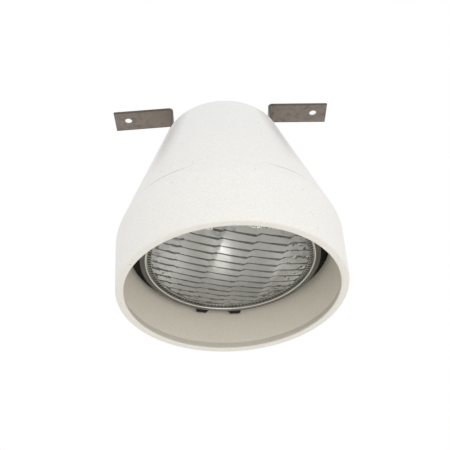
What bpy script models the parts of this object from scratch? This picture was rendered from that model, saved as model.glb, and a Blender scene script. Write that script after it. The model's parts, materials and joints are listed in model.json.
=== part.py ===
"""Ceiling heat lamp fixture: a white shade with a PAR56 sealed beam lamp in a hinged retaining ring.

Every height below is measured up from the plane of the shade's mouth. The frame empty then lowers
the whole model, so that the origin is on the ceiling plane, midway between the two brackets.
"""
import math

import bpy
import bmesh
from mathutils import Matrix, Vector

MM = 0.001
GAP = 0.3 * MM                  # clearance that touching pieces keep

# Frame and shade
CEILING_HEIGHT = 274.5 * MM     # mouth plane to the highest line of the bracket flanges
MOUTH_R = 112 * MM              # outer edge of the mouth
RIM_INNER_R = 103.6 * MM
LIP_R = 106 * MM                # undercut behind the rolled lip
LIP_HEIGHT = 8.5 * MM
SHOULDER_R = 115.5 * MM
SHOULDER_HEIGHT = 58.4 * MM
TOP_R = 68.4 * MM
TOP_HEIGHT = 215 * MM
WALL = 3.6 * MM
INNER_WALL_R = 102.1 * MM       # return wall at its upper edge
INNER_WALL_TOP = 52.4 * MM
INNER_WALL = 3.0 * MM
TURN_STEPS = 48

# Lamp carrier, ring and hinge; these are clocked together about the lamp's axis
CLOCK = math.radians(9.3)
CARRIER_HEIGHT = 51.0 * MM
CARRIER_PLATE = 1.6 * MM
CARRIER_OUTER_R = 101.5 * MM
CARRIER_INNER_R = 83.2 * MM
FIXING_R = 96 * MM              # circle of the four carrier screws
RING_HEIGHT = 40.0 * MM
RING_INNER_R = 84.4 * MM
RING_OUTER_R = 91.0 * MM
RING_SHEET = 1.2 * MM
HINGE_Y = 92.8 * MM
HINGE_HEIGHT = 44.2 * MM
STRAP_X = 18.2 * MM
PIN_R = 1.1 * MM
PIN_HOLE_R = 1.4 * MM
THUMB_Y = -95.5 * MM

# Lamp: 178 mm sealed beam
LAMP_R = 89 * MM
LENS_RIM_HEIGHT = 41.5 * MM
LENS_RIM = 4.5 * MM
LENS_BULGE = 9.3 * MM
LENS_THICK = 4.0 * MM
BOWL_BASE_R = 24 * MM
BOWL_TOP = 122 * MM
PRONG_X = 8 * MM

# Brackets
STRIP_WIDTH = 28 * MM
STRIP_THICK = 3 * MM
LEG_X = 59.3 * MM               # inner face of the leg
FLANGE_END_X = 133 * MM
FLANGE_DROOP = math.tan(math.radians(3.0))   # the flanges are over-bent, and screw up flat
FOOT_END_X = 24 * MM
HOLE_X = 116.5 * MM
HOLE_R = 4.5 * MM
BOLT_X = (33 * MM, 48 * MM)
BOLT_R = 3.0 * MM
BOLT_HOLE_R = 3.4 * MM
BOLT_HEX_R = 5.77 * MM          # corner radius of a hexagon 10 mm across its flats
WASHER_R = 6.2 * MM
WASHER_THICK = 1.5 * MM
NUT_HEIGHT = 5.0 * MM

# Cable gland
GLAND_R = 10.0 * MM             # its thread, through the shade's top
GLAND_BORE_R = 4.8 * MM
GLAND_HEX_R = 14.4 * MM
GLAND_FLANGE = 5.0 * MM
GLAND_NOSE_R = 9.4 * MM
GLAND_NOSE = 8.0 * MM
SEAL_HEIGHT = 3.0 * MM

# Screws, wiring and their seats
SCREW_HOLE_R = 2.2 * MM
BOSS_R = 5.0 * MM
GUSSET_THICK = 5.0 * MM
GUSSET_TOP = 106 * MM
BLOCK_Y = 40 * MM               # the terminal block stands behind the shade's axis
BLOCK_HALF_X = 17 * MM
BLOCK_HALF_Y = 9 * MM
BLOCK_HEIGHT = 16 * MM
BLOCK_SCREW_R = 1.8 * MM
LEAD_R = 1.3 * MM
HOLDER_HEIGHT = 24 * MM
FILAMENT_HEIGHT = 95 * MM
KNOB_R = 6.4 * MM
KNOB_HEIGHT = 8.5 * MM
THROUGH = 5 * MM                # how far a drill runs past the sheet that it cuts

FINISHES = {
    "white_enamel": ((0.90, 0.89, 0.86), 0.45, 0.0),
    "bracket_steel": ((0.30, 0.27, 0.25), 0.5, 0.9),
    "zinc_steel": ((0.55, 0.55, 0.56), 0.4, 1.0),
    "black_steel": ((0.02, 0.02, 0.02), 0.6, 0.2),
    "ring_steel": ((0.42, 0.41, 0.39), 0.35, 1.0),
    "lamp_glass": ((0.85, 0.87, 0.87), 0.1, 0.0),
    "mirror_glass": ((0.8, 0.8, 0.8), 0.1, 1.0),
    "ceramic": ((0.82, 0.79, 0.72), 0.5, 0.0),
    "brass": ((0.72, 0.55, 0.25), 0.35, 1.0),
    "nylon_grey": ((0.35, 0.36, 0.37), 0.55, 0.0),
    "seal_rubber": ((0.03, 0.03, 0.03), 0.8, 0.0),
    "lead_sleeve": ((0.75, 0.72, 0.65), 0.8, 0.0),
    "tungsten": ((0.25, 0.25, 0.27), 0.4, 1.0),
}


def clear_scene():
    """Removes every object, so that the model starts from nothing."""
    for item in list(bpy.data.objects):
        bpy.data.objects.remove(item, do_unlink=True)


def new_collection(name):
    collection = bpy.data.collections.new(name)
    bpy.context.scene.collection.children.link(collection)
    return collection


def make_material(name):
    colour, roughness, metallic = FINISHES[name]
    material = bpy.data.materials.new(name)
    material.use_nodes = True
    shader = material.node_tree.nodes["Principled BSDF"]
    shader.inputs["Base Color"].default_value = (*colour, 1.0)
    shader.inputs["Roughness"].default_value = roughness
    shader.inputs["Metallic"].default_value = metallic
    material.diffuse_color = (*colour, 1.0)
    return material


class Workshop:
    """Holds the collections, the materials and the parent empties while the pieces are made."""

    def __init__(self):
        clear_scene()
        self.parts = new_collection("heat_lamp_fixture")
        self.cutters = new_collection("cutters")
        self.materials = {name: make_material(name) for name in FINISHES}
        self.frame = self.empty("frame", None, (0, 0, -CEILING_HEIGHT))
        self.clocked = self.empty("lamp_axis", self.frame, (0, 0, 0))
        self.clocked.rotation_euler = (0, 0, CLOCK)
        self.ring_axis = self.empty("ring_hinge_axis", self.clocked, (0, HINGE_Y, HINGE_HEIGHT))
        self.home = Matrix.Translation((0, -HINGE_Y, -HINGE_HEIGHT))   # lamp's axes to the hinge's

    def empty(self, name, parent, location):
        item = bpy.data.objects.new(name, None)
        item.location = location
        item.parent = parent
        self.parts.objects.link(item)
        return item

    def place(self, name, mesh, finish, parent=None):
        """Makes a named piece from a mesh whose points are in the frame's or the parent's axes."""
        mesh.materials.clear()
        mesh.materials.append(self.materials[finish])
        mesh.shade_smooth()
        mesh.set_sharp_from_angle(angle=math.radians(35))
        item = bpy.data.objects.new(name, mesh)
        item.parent = parent or self.frame
        self.parts.objects.link(item)
        return item

    def cut(self, item, mesh, operation="DIFFERENCE"):
        """Cuts a tool mesh out of a piece, or joins it on; both are in the same parent's axes."""
        tool = bpy.data.objects.new(item.name + "_tool", mesh)
        tool.parent = item.parent
        tool.hide_render = True
        tool.display_type = "WIRE"
        self.cutters.objects.link(tool)
        step = item.modifiers.new(operation.lower(), "BOOLEAN")
        step.operation = operation
        step.solver = "EXACT"
        step.object = tool


def corner_arcs(corners, steps=4):
    """Turns corners (x, y) or (x, y, radius) into an outline whose corners are round.

    The outline is closed, so the first corner's neighbours are the second and the last.
    """
    outline = []
    count = len(corners)
    for index, corner in enumerate(corners):
        here = Vector(corner[:2])
        radius = corner[2] if len(corner) > 2 else 0
        if not radius:
            outline.append(here)
            continue
        before = (Vector(corners[index - 1][:2]) - here).normalized()
        after = (Vector(corners[(index + 1) % count][:2]) - here).normalized()
        half = before.angle(after) / 2
        reach = radius / math.tan(half)
        centre = here + (before + after).normalized() * (radius / math.sin(half))
        start = here + before * reach - centre
        end = here + after * reach - centre
        turn = start.angle_signed(end)
        for step in range(steps + 1):
            angle = -turn * step / steps
            spin = Vector((start.x * math.cos(angle) - start.y * math.sin(angle),
                           start.x * math.sin(angle) + start.y * math.cos(angle)))
            outline.append(centre + spin)
    return outline


def turned_mesh(name, outline, closed=True, steps=TURN_STEPS):
    """Turns an outline of (radius, height) points about +Z, with a Screw modifier."""
    profile = bpy.data.meshes.new(name + "_profile")
    points = [(point[0], 0, point[1]) for point in outline]
    edges = [(index, index + 1) for index in range(len(points) - 1)]
    if closed:
        edges.append((len(points) - 1, 0))
    profile.from_pydata(points, edges, [])
    item = bpy.data.objects.new(name + "_turning", profile)
    bpy.context.scene.collection.objects.link(item)
    screw = item.modifiers.new("turn", "SCREW")
    screw.steps = steps
    screw.render_steps = steps
    screw.use_merge_vertices = True
    screw.merge_threshold = 0.00001
    return finished_mesh(item, name)


def finished_mesh(item, name):
    """Gives the mesh that an object's modifiers make, and removes the object."""
    bpy.context.view_layer.update()
    evaluated = item.evaluated_get(bpy.context.evaluated_depsgraph_get())
    mesh = bpy.data.meshes.new_from_object(evaluated)
    mesh.transform(item.matrix_world)
    mesh.name = name
    bpy.data.objects.remove(item, do_unlink=True)
    weld = bmesh.new()
    weld.from_mesh(mesh)
    bmesh.ops.remove_doubles(weld, verts=weld.verts, dist=0.00001)
    bmesh.ops.recalc_face_normals(weld, faces=weld.faces)
    weld.to_mesh(mesh)
    weld.free()
    return mesh


def outline_mesh(name, outline, thickness, centre=(0, 0, 0), turn=(0, 0, 0)):
    """Extrudes a flat outline; it lies in X and Y before it is turned and moved."""
    curve = bpy.data.curves.new(name, "CURVE")
    curve.dimensions = "2D"
    curve.fill_mode = "BOTH"
    curve.extrude = thickness / 2
    spline = curve.splines.new("POLY")
    spline.points.add(len(outline) - 1)
    spline.use_cyclic_u = True
    for point, place in zip(spline.points, outline):
        point.co = (place[0], place[1], 0, 1)
    item = bpy.data.objects.new(name, curve)
    item.location = centre
    item.rotation_euler = turn
    bpy.context.scene.collection.objects.link(item)
    return finished_mesh(item, name)


def box_mesh(name, low, high, bevel=0):
    """Makes a box between two corners."""
    mesh = bpy.data.meshes.new(name)
    shape = bmesh.new()
    bmesh.ops.create_cube(shape, size=1)
    low = Vector(low)
    high = Vector(high)
    bmesh.ops.scale(shape, vec=high - low, verts=shape.verts)
    bmesh.ops.translate(shape, vec=(high + low) / 2, verts=shape.verts)
    if bevel:
        bmesh.ops.bevel(shape, geom=shape.edges, offset=bevel, segments=1, profile=0.5,
                        affect="EDGES")
    shape.to_mesh(mesh)
    shape.free()
    return mesh


def rod_mesh(name, radius, base, top, sides=16, top_radius=None):
    """Makes a round or many-sided rod from one point to another."""
    mesh = bpy.data.meshes.new(name)
    shape = bmesh.new()
    base = Vector(base)
    along = Vector(top) - base
    end = radius if top_radius is None else top_radius
    bmesh.ops.create_cone(shape, cap_ends=True, segments=sides, radius1=radius, radius2=end,
                          depth=along.length)
    turn = Vector((0, 0, 1)).rotation_difference(along).to_matrix().to_4x4()
    bmesh.ops.transform(shape, matrix=turn, verts=shape.verts)
    bmesh.ops.translate(shape, vec=base + along / 2, verts=shape.verts)
    shape.to_mesh(mesh)
    shape.free()
    return mesh


def smooth_route(points, per_span=4):
    """Reads points from the smooth curve that runs through a route's own points."""
    places = [Vector(point) for point in points]
    places = [2 * places[0] - places[1], *places, 2 * places[-1] - places[-2]]
    route = []
    for a, b, c, d in zip(places, places[1:], places[2:], places[3:]):
        for step in range(per_span):
            t = step / per_span
            route.append(0.5 * (2 * b + (c - a) * t + (2 * a - 5 * b + 4 * c - d) * t ** 2
                                + (3 * b - a - 3 * c + d) * t ** 3))
    route.append(places[-2])
    return route


def wire_mesh(name, points, radius):
    """Makes a round wire with closed ends along a list of points."""
    curve = bpy.data.curves.new(name, "CURVE")
    curve.dimensions = "3D"
    curve.bevel_depth = radius
    curve.bevel_resolution = 2
    curve.use_fill_caps = True
    spline = curve.splines.new("POLY")
    spline.points.add(len(points) - 1)
    for point, place in zip(spline.points, points):
        point.co = (*place, 1)
    item = bpy.data.objects.new(name, curve)
    bpy.context.scene.collection.objects.link(item)
    return finished_mesh(item, name)


def tube_mesh(name, outer, inner, low, high, steps=12):
    """Makes a plain ring or washer."""
    outline = [(inner, high), (outer, high), (outer, low), (inner, low)]
    return turned_mesh(name, outline, steps=steps)


def drill_mesh(radius, place, low, high, sides=12):
    """Makes an upright drill, which cuts a round hole at a place in X and Y."""
    return rod_mesh("drill", radius, (place[0], place[1], low), (place[0], place[1], high), sides)


def polar(radius, angle, height=0.0):
    return Vector((radius * math.cos(angle), radius * math.sin(angle), height))


def cone_radius(height, offset=0.0):
    """Radius of the shade's cone at a height, moved inwards by an offset."""
    slope = (SHOULDER_R - TOP_R) / (TOP_HEIGHT - SHOULDER_HEIGHT)
    return SHOULDER_R - slope * (height - SHOULDER_HEIGHT) - offset


def fixing_places():
    """Angles of the four moulded gussets that carry the lamp carrier."""
    return [CLOCK + math.radians(45 + 90 * turn) for turn in range(4)]


def make_shade(shop):
    """The shade: skirt, cone and flat top, with a rolled lip, a return wall and four gussets."""
    top_inside = TOP_HEIGHT - WALL
    wall_across = WALL * 1.05
    outline = corner_arcs([
        (GLAND_R + GAP, TOP_HEIGHT),
        (TOP_R, TOP_HEIGHT, 5 * MM),
        (SHOULDER_R, SHOULDER_HEIGHT, 38 * MM),
        (MOUTH_R, 0, 2.5 * MM),
        (RIM_INNER_R, 0, 1.2 * MM),
        (LIP_R, LIP_HEIGHT),
        (INNER_WALL_R, INNER_WALL_TOP),
        (INNER_WALL_R + INNER_WALL, INNER_WALL_TOP),
        (LIP_R + 1.8 * MM, 16 * MM),
        (LIP_R + 3.2 * MM, 16 * MM),
        (SHOULDER_R - wall_across, SHOULDER_HEIGHT, 30 * MM),
        (cone_radius(top_inside, wall_across), top_inside, 3 * MM),
        (GLAND_R + GAP, top_inside),
    ])
    shade = shop.place("shade", turned_mesh("shade", outline), "white_enamel")
    boss_low = CARRIER_HEIGHT + CARRIER_PLATE + GAP
    boss_top = boss_low + 19 * MM
    middle = WALL / 2
    foot = INNER_WALL_TOP + 13.6 * MM
    gusset = [
        (FIXING_R - BOSS_R, boss_low),
        (INNER_WALL_R + INNER_WALL, boss_low),
        (cone_radius(foot, middle), foot),
        (cone_radius(GUSSET_TOP, middle), GUSSET_TOP),
        (FIXING_R - BOSS_R, GUSSET_TOP - 22 * MM),
    ]
    for angle in fixing_places():
        rib = outline_mesh("gusset", gusset, GUSSET_THICK, turn=(math.pi / 2, 0, angle))
        shop.cut(shade, rib, "UNION")
    for angle in fixing_places():
        boss = rod_mesh("boss", BOSS_R, polar(FIXING_R, angle, boss_low),
                        polar(FIXING_R, angle, boss_top))
        shop.cut(shade, boss, "UNION")
    for angle in fixing_places():
        hole = drill_mesh(SCREW_HOLE_R, polar(FIXING_R, angle), boss_low - THROUGH,
                          boss_top - THROUGH)
        shop.cut(shade, hole)
    for side in (-1, 1):
        for x in BOLT_X:
            hole = drill_mesh(BOLT_HOLE_R, (side * x, 0), top_inside - THROUGH, TOP_HEIGHT + THROUGH)
            shop.cut(shade, hole)
    blind_end = TOP_HEIGHT - 1.1 * MM
    shop.cut(shade, drill_mesh(BLOCK_SCREW_R, (0, BLOCK_Y), top_inside - THROUGH, blind_end))


def make_bracket(shop, name, side):
    """One strip bent to a Z: foot on the shade's top, leg, and the flange that meets the ceiling."""
    foot = TOP_HEIGHT + GAP
    outer = LEG_X + STRIP_THICK
    top = CEILING_HEIGHT
    bend_out = 5.5 * MM
    bend_in = 2.5 * MM
    tip = top - (FLANGE_END_X - LEG_X) * FLANGE_DROOP
    corners = [
        (FLANGE_END_X, tip),
        (LEG_X, top, bend_out),
        (LEG_X, foot + STRIP_THICK, bend_in),
        (FOOT_END_X, foot + STRIP_THICK),
        (FOOT_END_X, foot),
        (outer, foot, bend_out),
        (outer, top - STRIP_THICK * (1 + FLANGE_DROOP), bend_in),
        (FLANGE_END_X, tip - STRIP_THICK),
    ]
    outline = corner_arcs([(side * corner[0], *corner[1:]) for corner in corners])
    mesh = outline_mesh(name, outline, STRIP_WIDTH, turn=(math.pi / 2, 0, 0))
    bracket = shop.place(name, mesh, "bracket_steel")
    hole_low = tip - STRIP_THICK - THROUGH
    shop.cut(bracket, drill_mesh(HOLE_R, (side * HOLE_X, 0), hole_low, top + THROUGH, 20))
    for x in BOLT_X:
        hole = drill_mesh(BOLT_HOLE_R, (side * x, 0), foot - THROUGH, foot + STRIP_THICK + THROUGH)
        shop.cut(bracket, hole)


def make_bracket_fixings(shop):
    """Two hex bolts in each foot, with a washer and a nut inside the shade."""
    head_low = TOP_HEIGHT + 2 * GAP + STRIP_THICK
    head_top = head_low + 4 * MM
    washer_top = TOP_HEIGHT - WALL - GAP
    washer_low = washer_top - WASHER_THICK
    nut_top = washer_low - GAP
    nut_low = nut_top - NUT_HEIGHT
    shank_end = nut_low - 3.5 * MM
    places = [side * x for side in (-1, 1) for x in BOLT_X]
    for number, x in enumerate(places, 1):
        head = rod_mesh("bolt", BOLT_HEX_R, (x, 0, head_low), (x, 0, head_top), 6)
        bolt = shop.place(f"bracket_bolt_{number}", head, "zinc_steel")
        shop.cut(bolt, drill_mesh(BOLT_R, (x, 0), shank_end, head_low + MM), "UNION")
        washer = tube_mesh("washer", WASHER_R, BOLT_HOLE_R, washer_low, washer_top)
        washer.transform(Matrix.Translation((x, 0, 0)))
        shop.place(f"bracket_washer_{number}", washer, "zinc_steel")
        nut_mesh = rod_mesh("nut", BOLT_HEX_R, (x, 0, nut_low), (x, 0, nut_top), 6)
        nut = shop.place(f"bracket_nut_{number}", nut_mesh, "zinc_steel")
        shop.cut(nut, drill_mesh(BOLT_HOLE_R, (x, 0), nut_low - MM, nut_top + MM))


def make_gland(shop):
    """The cable gland in the middle of the top: body, locknut, seal and dome nut."""
    inside = TOP_HEIGHT - WALL
    locknut_top = inside - GAP
    locknut_low = locknut_top - GLAND_FLANGE
    thread_end = locknut_low - 4.1 * MM
    flange_low = TOP_HEIGHT + GAP
    flange_top = flange_low + GLAND_FLANGE
    nose_top = flange_top + GLAND_NOSE
    seal_low = nose_top + GAP
    seal_top = seal_low + SEAL_HEIGHT
    dome_top = seal_top + 3 * MM
    centre = (0, 0)
    sides = 24

    flange = rod_mesh("gland_flange", GLAND_HEX_R, (0, 0, flange_low), (0, 0, flange_top), 6)
    body = shop.place("gland_body", flange, "nylon_grey")
    shop.cut(body, drill_mesh(GLAND_R, centre, thread_end, flange_low + MM, sides), "UNION")
    shop.cut(body, drill_mesh(GLAND_NOSE_R, centre, flange_top - MM, nose_top, sides), "UNION")
    shop.cut(body, drill_mesh(GLAND_BORE_R, centre, thread_end - MM, nose_top + MM, sides))

    locknut_mesh = rod_mesh("gland_locknut", GLAND_HEX_R, (0, 0, locknut_low), (0, 0, locknut_top), 6)
    locknut = shop.place("gland_locknut", locknut_mesh, "nylon_grey")
    shop.cut(locknut, drill_mesh(GLAND_R + GAP, centre, locknut_low - MM, locknut_top + MM, sides))

    seal_mesh = tube_mesh("gland_seal", GLAND_NOSE_R - 2 * GAP, GLAND_BORE_R - GAP, seal_low,
                          seal_top, sides)
    shop.place("gland_seal", seal_mesh, "seal_rubber")

    nut_low = flange_top + GAP
    nut_mesh = rod_mesh("gland_dome_nut", GLAND_HEX_R, (0, 0, nut_low), (0, 0, nose_top), 6)
    dome_nut = shop.place("gland_dome_nut", nut_mesh, "nylon_grey")
    dome_low = nose_top - MM
    outline = corner_arcs([(0, dome_top), (10.8 * MM, dome_top, 2 * MM), (12.4 * MM, dome_low),
                           (0, dome_low)], 3)
    shop.cut(dome_nut, turned_mesh("dome", outline, False, sides), "UNION")
    cavity_r = GLAND_NOSE_R + GAP
    shop.cut(dome_nut, drill_mesh(cavity_r, centre, nut_low - MM, seal_top + GAP, sides))
    shop.cut(dome_nut, drill_mesh(GLAND_BORE_R, centre, nut_low, dome_top + THROUGH, sides))


def make_carrier(shop):
    """The black pressed ring that the lamp's rim bears on, with four hinge ears and the latch nut."""
    low = CARRIER_HEIGHT
    top = CARRIER_HEIGHT + CARRIER_PLATE
    inner = CARRIER_INNER_R
    outline = [
        (inner, top + 5.4 * MM),
        (inner + 1.4 * MM, top + 5.4 * MM),
        (inner + 1.4 * MM, top),
        (CARRIER_OUTER_R, top),
        (CARRIER_OUTER_R, low),
        (inner, low),
    ]
    carrier = shop.place("lamp_carrier", turned_mesh("lamp_carrier", outline), "black_steel", shop.clocked)
    ear_half = 0.8 * MM
    ear = [
        (HINGE_Y - 2.2 * MM, low + 0.8 * MM),
        (HINGE_Y - 2.2 * MM, HINGE_HEIGHT - 1.2 * MM),
        (HINGE_Y - 1.0 * MM, HINGE_HEIGHT - 2.2 * MM),
        (HINGE_Y + 1.0 * MM, HINGE_HEIGHT - 2.2 * MM),
        (HINGE_Y + 2.5 * MM, HINGE_HEIGHT - 0.8 * MM),
        (HINGE_Y + 2.5 * MM, low + 0.8 * MM),
    ]
    for side in (-1, 1):
        for step in (-1, 1):
            x = side * STRAP_X + step * (5.0 * MM + ear_half)
            mesh = outline_mesh("ear", ear, 2 * ear_half, centre=(x, 0, 0),
                                turn=(math.pi / 2, 0, math.pi / 2))
            shop.cut(carrier, mesh, "UNION")
        hole = rod_mesh("ear_hole", PIN_HOLE_R, (side * STRAP_X - 9 * MM, HINGE_Y, HINGE_HEIGHT),
                        (side * STRAP_X + 9 * MM, HINGE_Y, HINGE_HEIGHT), 12)
        shop.cut(carrier, hole)
    latch = (0, THUMB_Y)
    nut_low = top + GAP
    nut_top = nut_low + 3.4 * MM
    shop.cut(carrier, drill_mesh(2.7 * MM, latch, low - THROUGH, top + THROUGH))
    nut_mesh = rod_mesh("latch_nut", 4.6 * MM, (0, THUMB_Y, nut_low), (0, THUMB_Y, nut_top), 6)
    nut = shop.place("latch_nut", nut_mesh, "zinc_steel", shop.clocked)
    shop.cut(nut, drill_mesh(2.5 * MM, latch, nut_low - MM, nut_top + MM))

    shank_r = SCREW_HOLE_R - GAP
    shank_top = top + 13.4 * MM
    head_r = 4 * MM
    head_top = low - GAP
    head_low = head_top - 2.1 * MM
    for turn in range(4):
        place = polar(FIXING_R, math.radians(45 + 90 * turn))
        shop.cut(carrier, drill_mesh(SCREW_HOLE_R, place, low - THROUGH, top + THROUGH))
        outline = corner_arcs([(0, shank_top), (shank_r, shank_top), (shank_r, head_top),
                               (head_r, head_top), (head_r, head_low, 1.2 * MM), (0, head_low)], 2)
        mesh = turned_mesh("carrier_screw", outline, False, 12)
        mesh.transform(Matrix.Translation(place))
        shop.place(f"carrier_screw_{turn + 1}", mesh, "black_steel", shop.clocked)


def make_hinge_pins(shop):
    """Two short headed pins, one through each pair of ears."""
    half = 7.4 * MM
    head_r = 1.9 * MM
    for name, side in (("hinge_pin_left", -1), ("hinge_pin_right", 1)):
        x = side * STRAP_X
        ends = [Vector((x + side * step, HINGE_Y, HINGE_HEIGHT)) for step in (-half, half)]
        pin = shop.place(name, rod_mesh(name, PIN_R, *ends, 12), "zinc_steel", shop.clocked)
        inner = ends[1] - Vector((side * 0.4 * MM, 0, 0))
        outer = ends[1] + Vector((side * 0.6 * MM, 0, 0))
        shop.cut(pin, rod_mesh("pin_head", head_r, inner, outer, 12), "UNION")


def make_lamp(shop):
    """The sealed beam lamp: lens, mirrored bowl, two prongs, filament and its supports."""
    rim = LENS_RIM_HEIGHT
    inner_r = 80 * MM
    dome_r = 83.6 * MM
    lens = [(0, rim - LENS_BULGE + LENS_THICK)]
    rings = 8
    for step in range(1, rings):
        r = inner_r * step / rings
        lens.append((r, rim - LENS_BULGE + LENS_THICK + (LENS_BULGE + 0.5 * MM) * (r / inner_r) ** 2))
    lens += [(inner_r, rim + LENS_RIM), (LAMP_R, rim + LENS_RIM), (LAMP_R, rim)]
    for step in range(rings, 0, -1):
        r = dome_r * step / rings
        lens.append((r, rim - LENS_BULGE * (1 - (r / dome_r) ** 2)))
    lens.append((0, rim - LENS_BULGE))
    shop.place("lamp_lens", turned_mesh("lamp_lens", lens, False), "lamp_glass", shop.clocked)

    flange_low = rim + LENS_RIM + GAP
    flange_top = CARRIER_HEIGHT - 0.4 * MM
    neck = 116 * MM
    outer_start = 81.6 * MM
    focus = (outer_start ** 2 - BOWL_BASE_R ** 2) / (neck - flange_top)
    vertex = neck + BOWL_BASE_R ** 2 / focus

    def bowl(height):
        return math.sqrt((vertex - height) * focus)

    skin = 2.6 * MM
    spans = 7
    heights = [flange_top + (neck - flange_top) * step / spans for step in range(spans + 1)]
    outline = [(0, BOWL_TOP), (BOWL_BASE_R, BOWL_TOP)]
    outline += [(bowl(height), height) for height in reversed(heights)]
    outline += [(LAMP_R, flange_top), (LAMP_R, flange_low), (bowl(flange_low) - skin, flange_low)]
    outline += [(bowl(height) - skin, height) for height in heights]
    outline += [(BOWL_BASE_R - skin, BOWL_TOP - skin), (0, BOWL_TOP - skin)]
    bowl_mesh = turned_mesh("lamp_reflector", outline, False)
    shop.place("lamp_reflector", bowl_mesh, "mirror_glass", shop.clocked)

    reach = 10 * MM
    filament = rod_mesh("lamp_filament", 1.1 * MM, (-reach + MM, 0, FILAMENT_HEIGHT),
                        (reach - MM, 0, FILAMENT_HEIGHT), 10)
    shop.place("lamp_filament", filament, "tungsten", shop.clocked)
    for name, side in (("left", -1), ("right", 1)):
        x = side * PRONG_X
        prong = box_mesh("prong", (x - 0.8 * MM, -4.5 * MM, BOWL_TOP + GAP),
                         (x + 0.8 * MM, 4.5 * MM, BOWL_TOP + 15 * MM))
        shop.place(f"lamp_prong_{name}", prong, "brass", shop.clocked)
        start = BOWL_TOP - skin - GAP
        seat = 6 * MM
        route = [(side * seat, 0, start), (side * seat, 0, FILAMENT_HEIGHT + 13 * MM),
                 (side * reach, 0, FILAMENT_HEIGHT + 4 * MM),
                 (side * reach, 0, FILAMENT_HEIGHT - 2 * MM)]
        support = wire_mesh("support", route, 0.6 * MM)
        shop.place(f"filament_support_{name}", support, "zinc_steel", shop.clocked)


def make_lampholder(shop):
    """The ceramic holder that plugs onto the lamp's prongs and hangs on its leads."""
    low = BOWL_TOP + MM
    top = low + HOLDER_HEIGHT
    slot_top = top - 4 * MM
    body = box_mesh("lampholder", (-22 * MM, -14 * MM, low), (22 * MM, 14 * MM, top), 2 * MM)
    holder = shop.place("lampholder", body, "ceramic", shop.clocked)
    for name, side in (("left", -1), ("right", 1)):
        x = side * PRONG_X
        slot = box_mesh("slot", (x - 2.6 * MM, -6 * MM, low - MM), (x + 2.6 * MM, 6 * MM, slot_top))
        shop.cut(holder, slot)
        shop.cut(holder, drill_mesh(LEAD_R + 0.5 * MM, (x, 0), slot_top - MM, top + MM))
        near = x + side * 1.1 * MM
        far = x + side * 1.9 * MM
        contact = box_mesh("contact", (min(near, far), -4 * MM, low + MM),
                           (max(near, far), 4 * MM, slot_top - 2 * MM))
        shop.place(f"lampholder_contact_{name}", contact, "brass", shop.clocked)


def make_wiring(shop):
    """The ceramic terminal block under the top, its screws, and the two sleeved leads."""
    inside = TOP_HEIGHT - WALL
    high = inside - GAP
    low = high - BLOCK_HEIGHT
    front = BLOCK_Y - BLOCK_HALF_Y
    body = box_mesh("terminal_block", (-BLOCK_HALF_X, front, low),
                    (BLOCK_HALF_X, BLOCK_Y + BLOCK_HALF_Y, high), 1.5 * MM)
    block = shop.place("terminal_block", body, "ceramic")
    shop.cut(block, drill_mesh(BLOCK_SCREW_R, (0, BLOCK_Y), low - MM, inside + MM))
    lead_height = low + BLOCK_HEIGHT / 2
    well_r = 2.4 * MM
    holder_top = BOWL_TOP + MM + HOLDER_HEIGHT
    for number, (name, side) in enumerate((("left", -1), ("right", 1)), 1):
        x = side * 10 * MM
        shop.cut(block, drill_mesh(well_r, (x, BLOCK_Y), low - MM, low + 5 * MM))
        lead_well = rod_mesh("lead_well", LEAD_R + 0.4 * MM, (x, front - 3 * MM, lead_height),
                             (x, BLOCK_Y, lead_height), 12)
        shop.cut(block, lead_well)
        screw = drill_mesh(well_r - 0.4 * MM, (x, BLOCK_Y), low + MM, low + 4.6 * MM)
        shop.place(f"terminal_screw_{number}", screw, "brass")
        start = polar(PRONG_X, CLOCK + (0 if side > 0 else math.pi), holder_top - 2.5 * MM)
        out = start + Vector((0, 0, 8 * MM))
        route = [start, out, (side * 13 * MM, -9 * MM, 168 * MM), (side * 19 * MM, -7 * MM, 186 * MM),
                 (side * 16 * MM, 12 * MM, 199 * MM), (x, front - 6 * MM, lead_height),
                 (x, front, lead_height), (x, front + 6 * MM, lead_height)]
        lead = wire_mesh("lead", smooth_route(route, 3), LEAD_R)
        shop.place(f"lead_{name}", lead, "lead_sleeve")
    shank_r = BLOCK_SCREW_R - GAP
    shank_top = inside + 2.1 * MM
    head_r = 3.2 * MM
    head_top = low - GAP
    head_low = head_top - 2 * MM
    outline = [(0, shank_top), (shank_r, shank_top), (shank_r, head_top), (head_r, head_top),
               (head_r, head_low), (0, head_low)]
    screw = turned_mesh("block_screw", outline, False, 12)
    screw.transform(Matrix.Translation((0, BLOCK_Y, 0)))
    shop.place("block_screw", screw, "zinc_steel")


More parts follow.
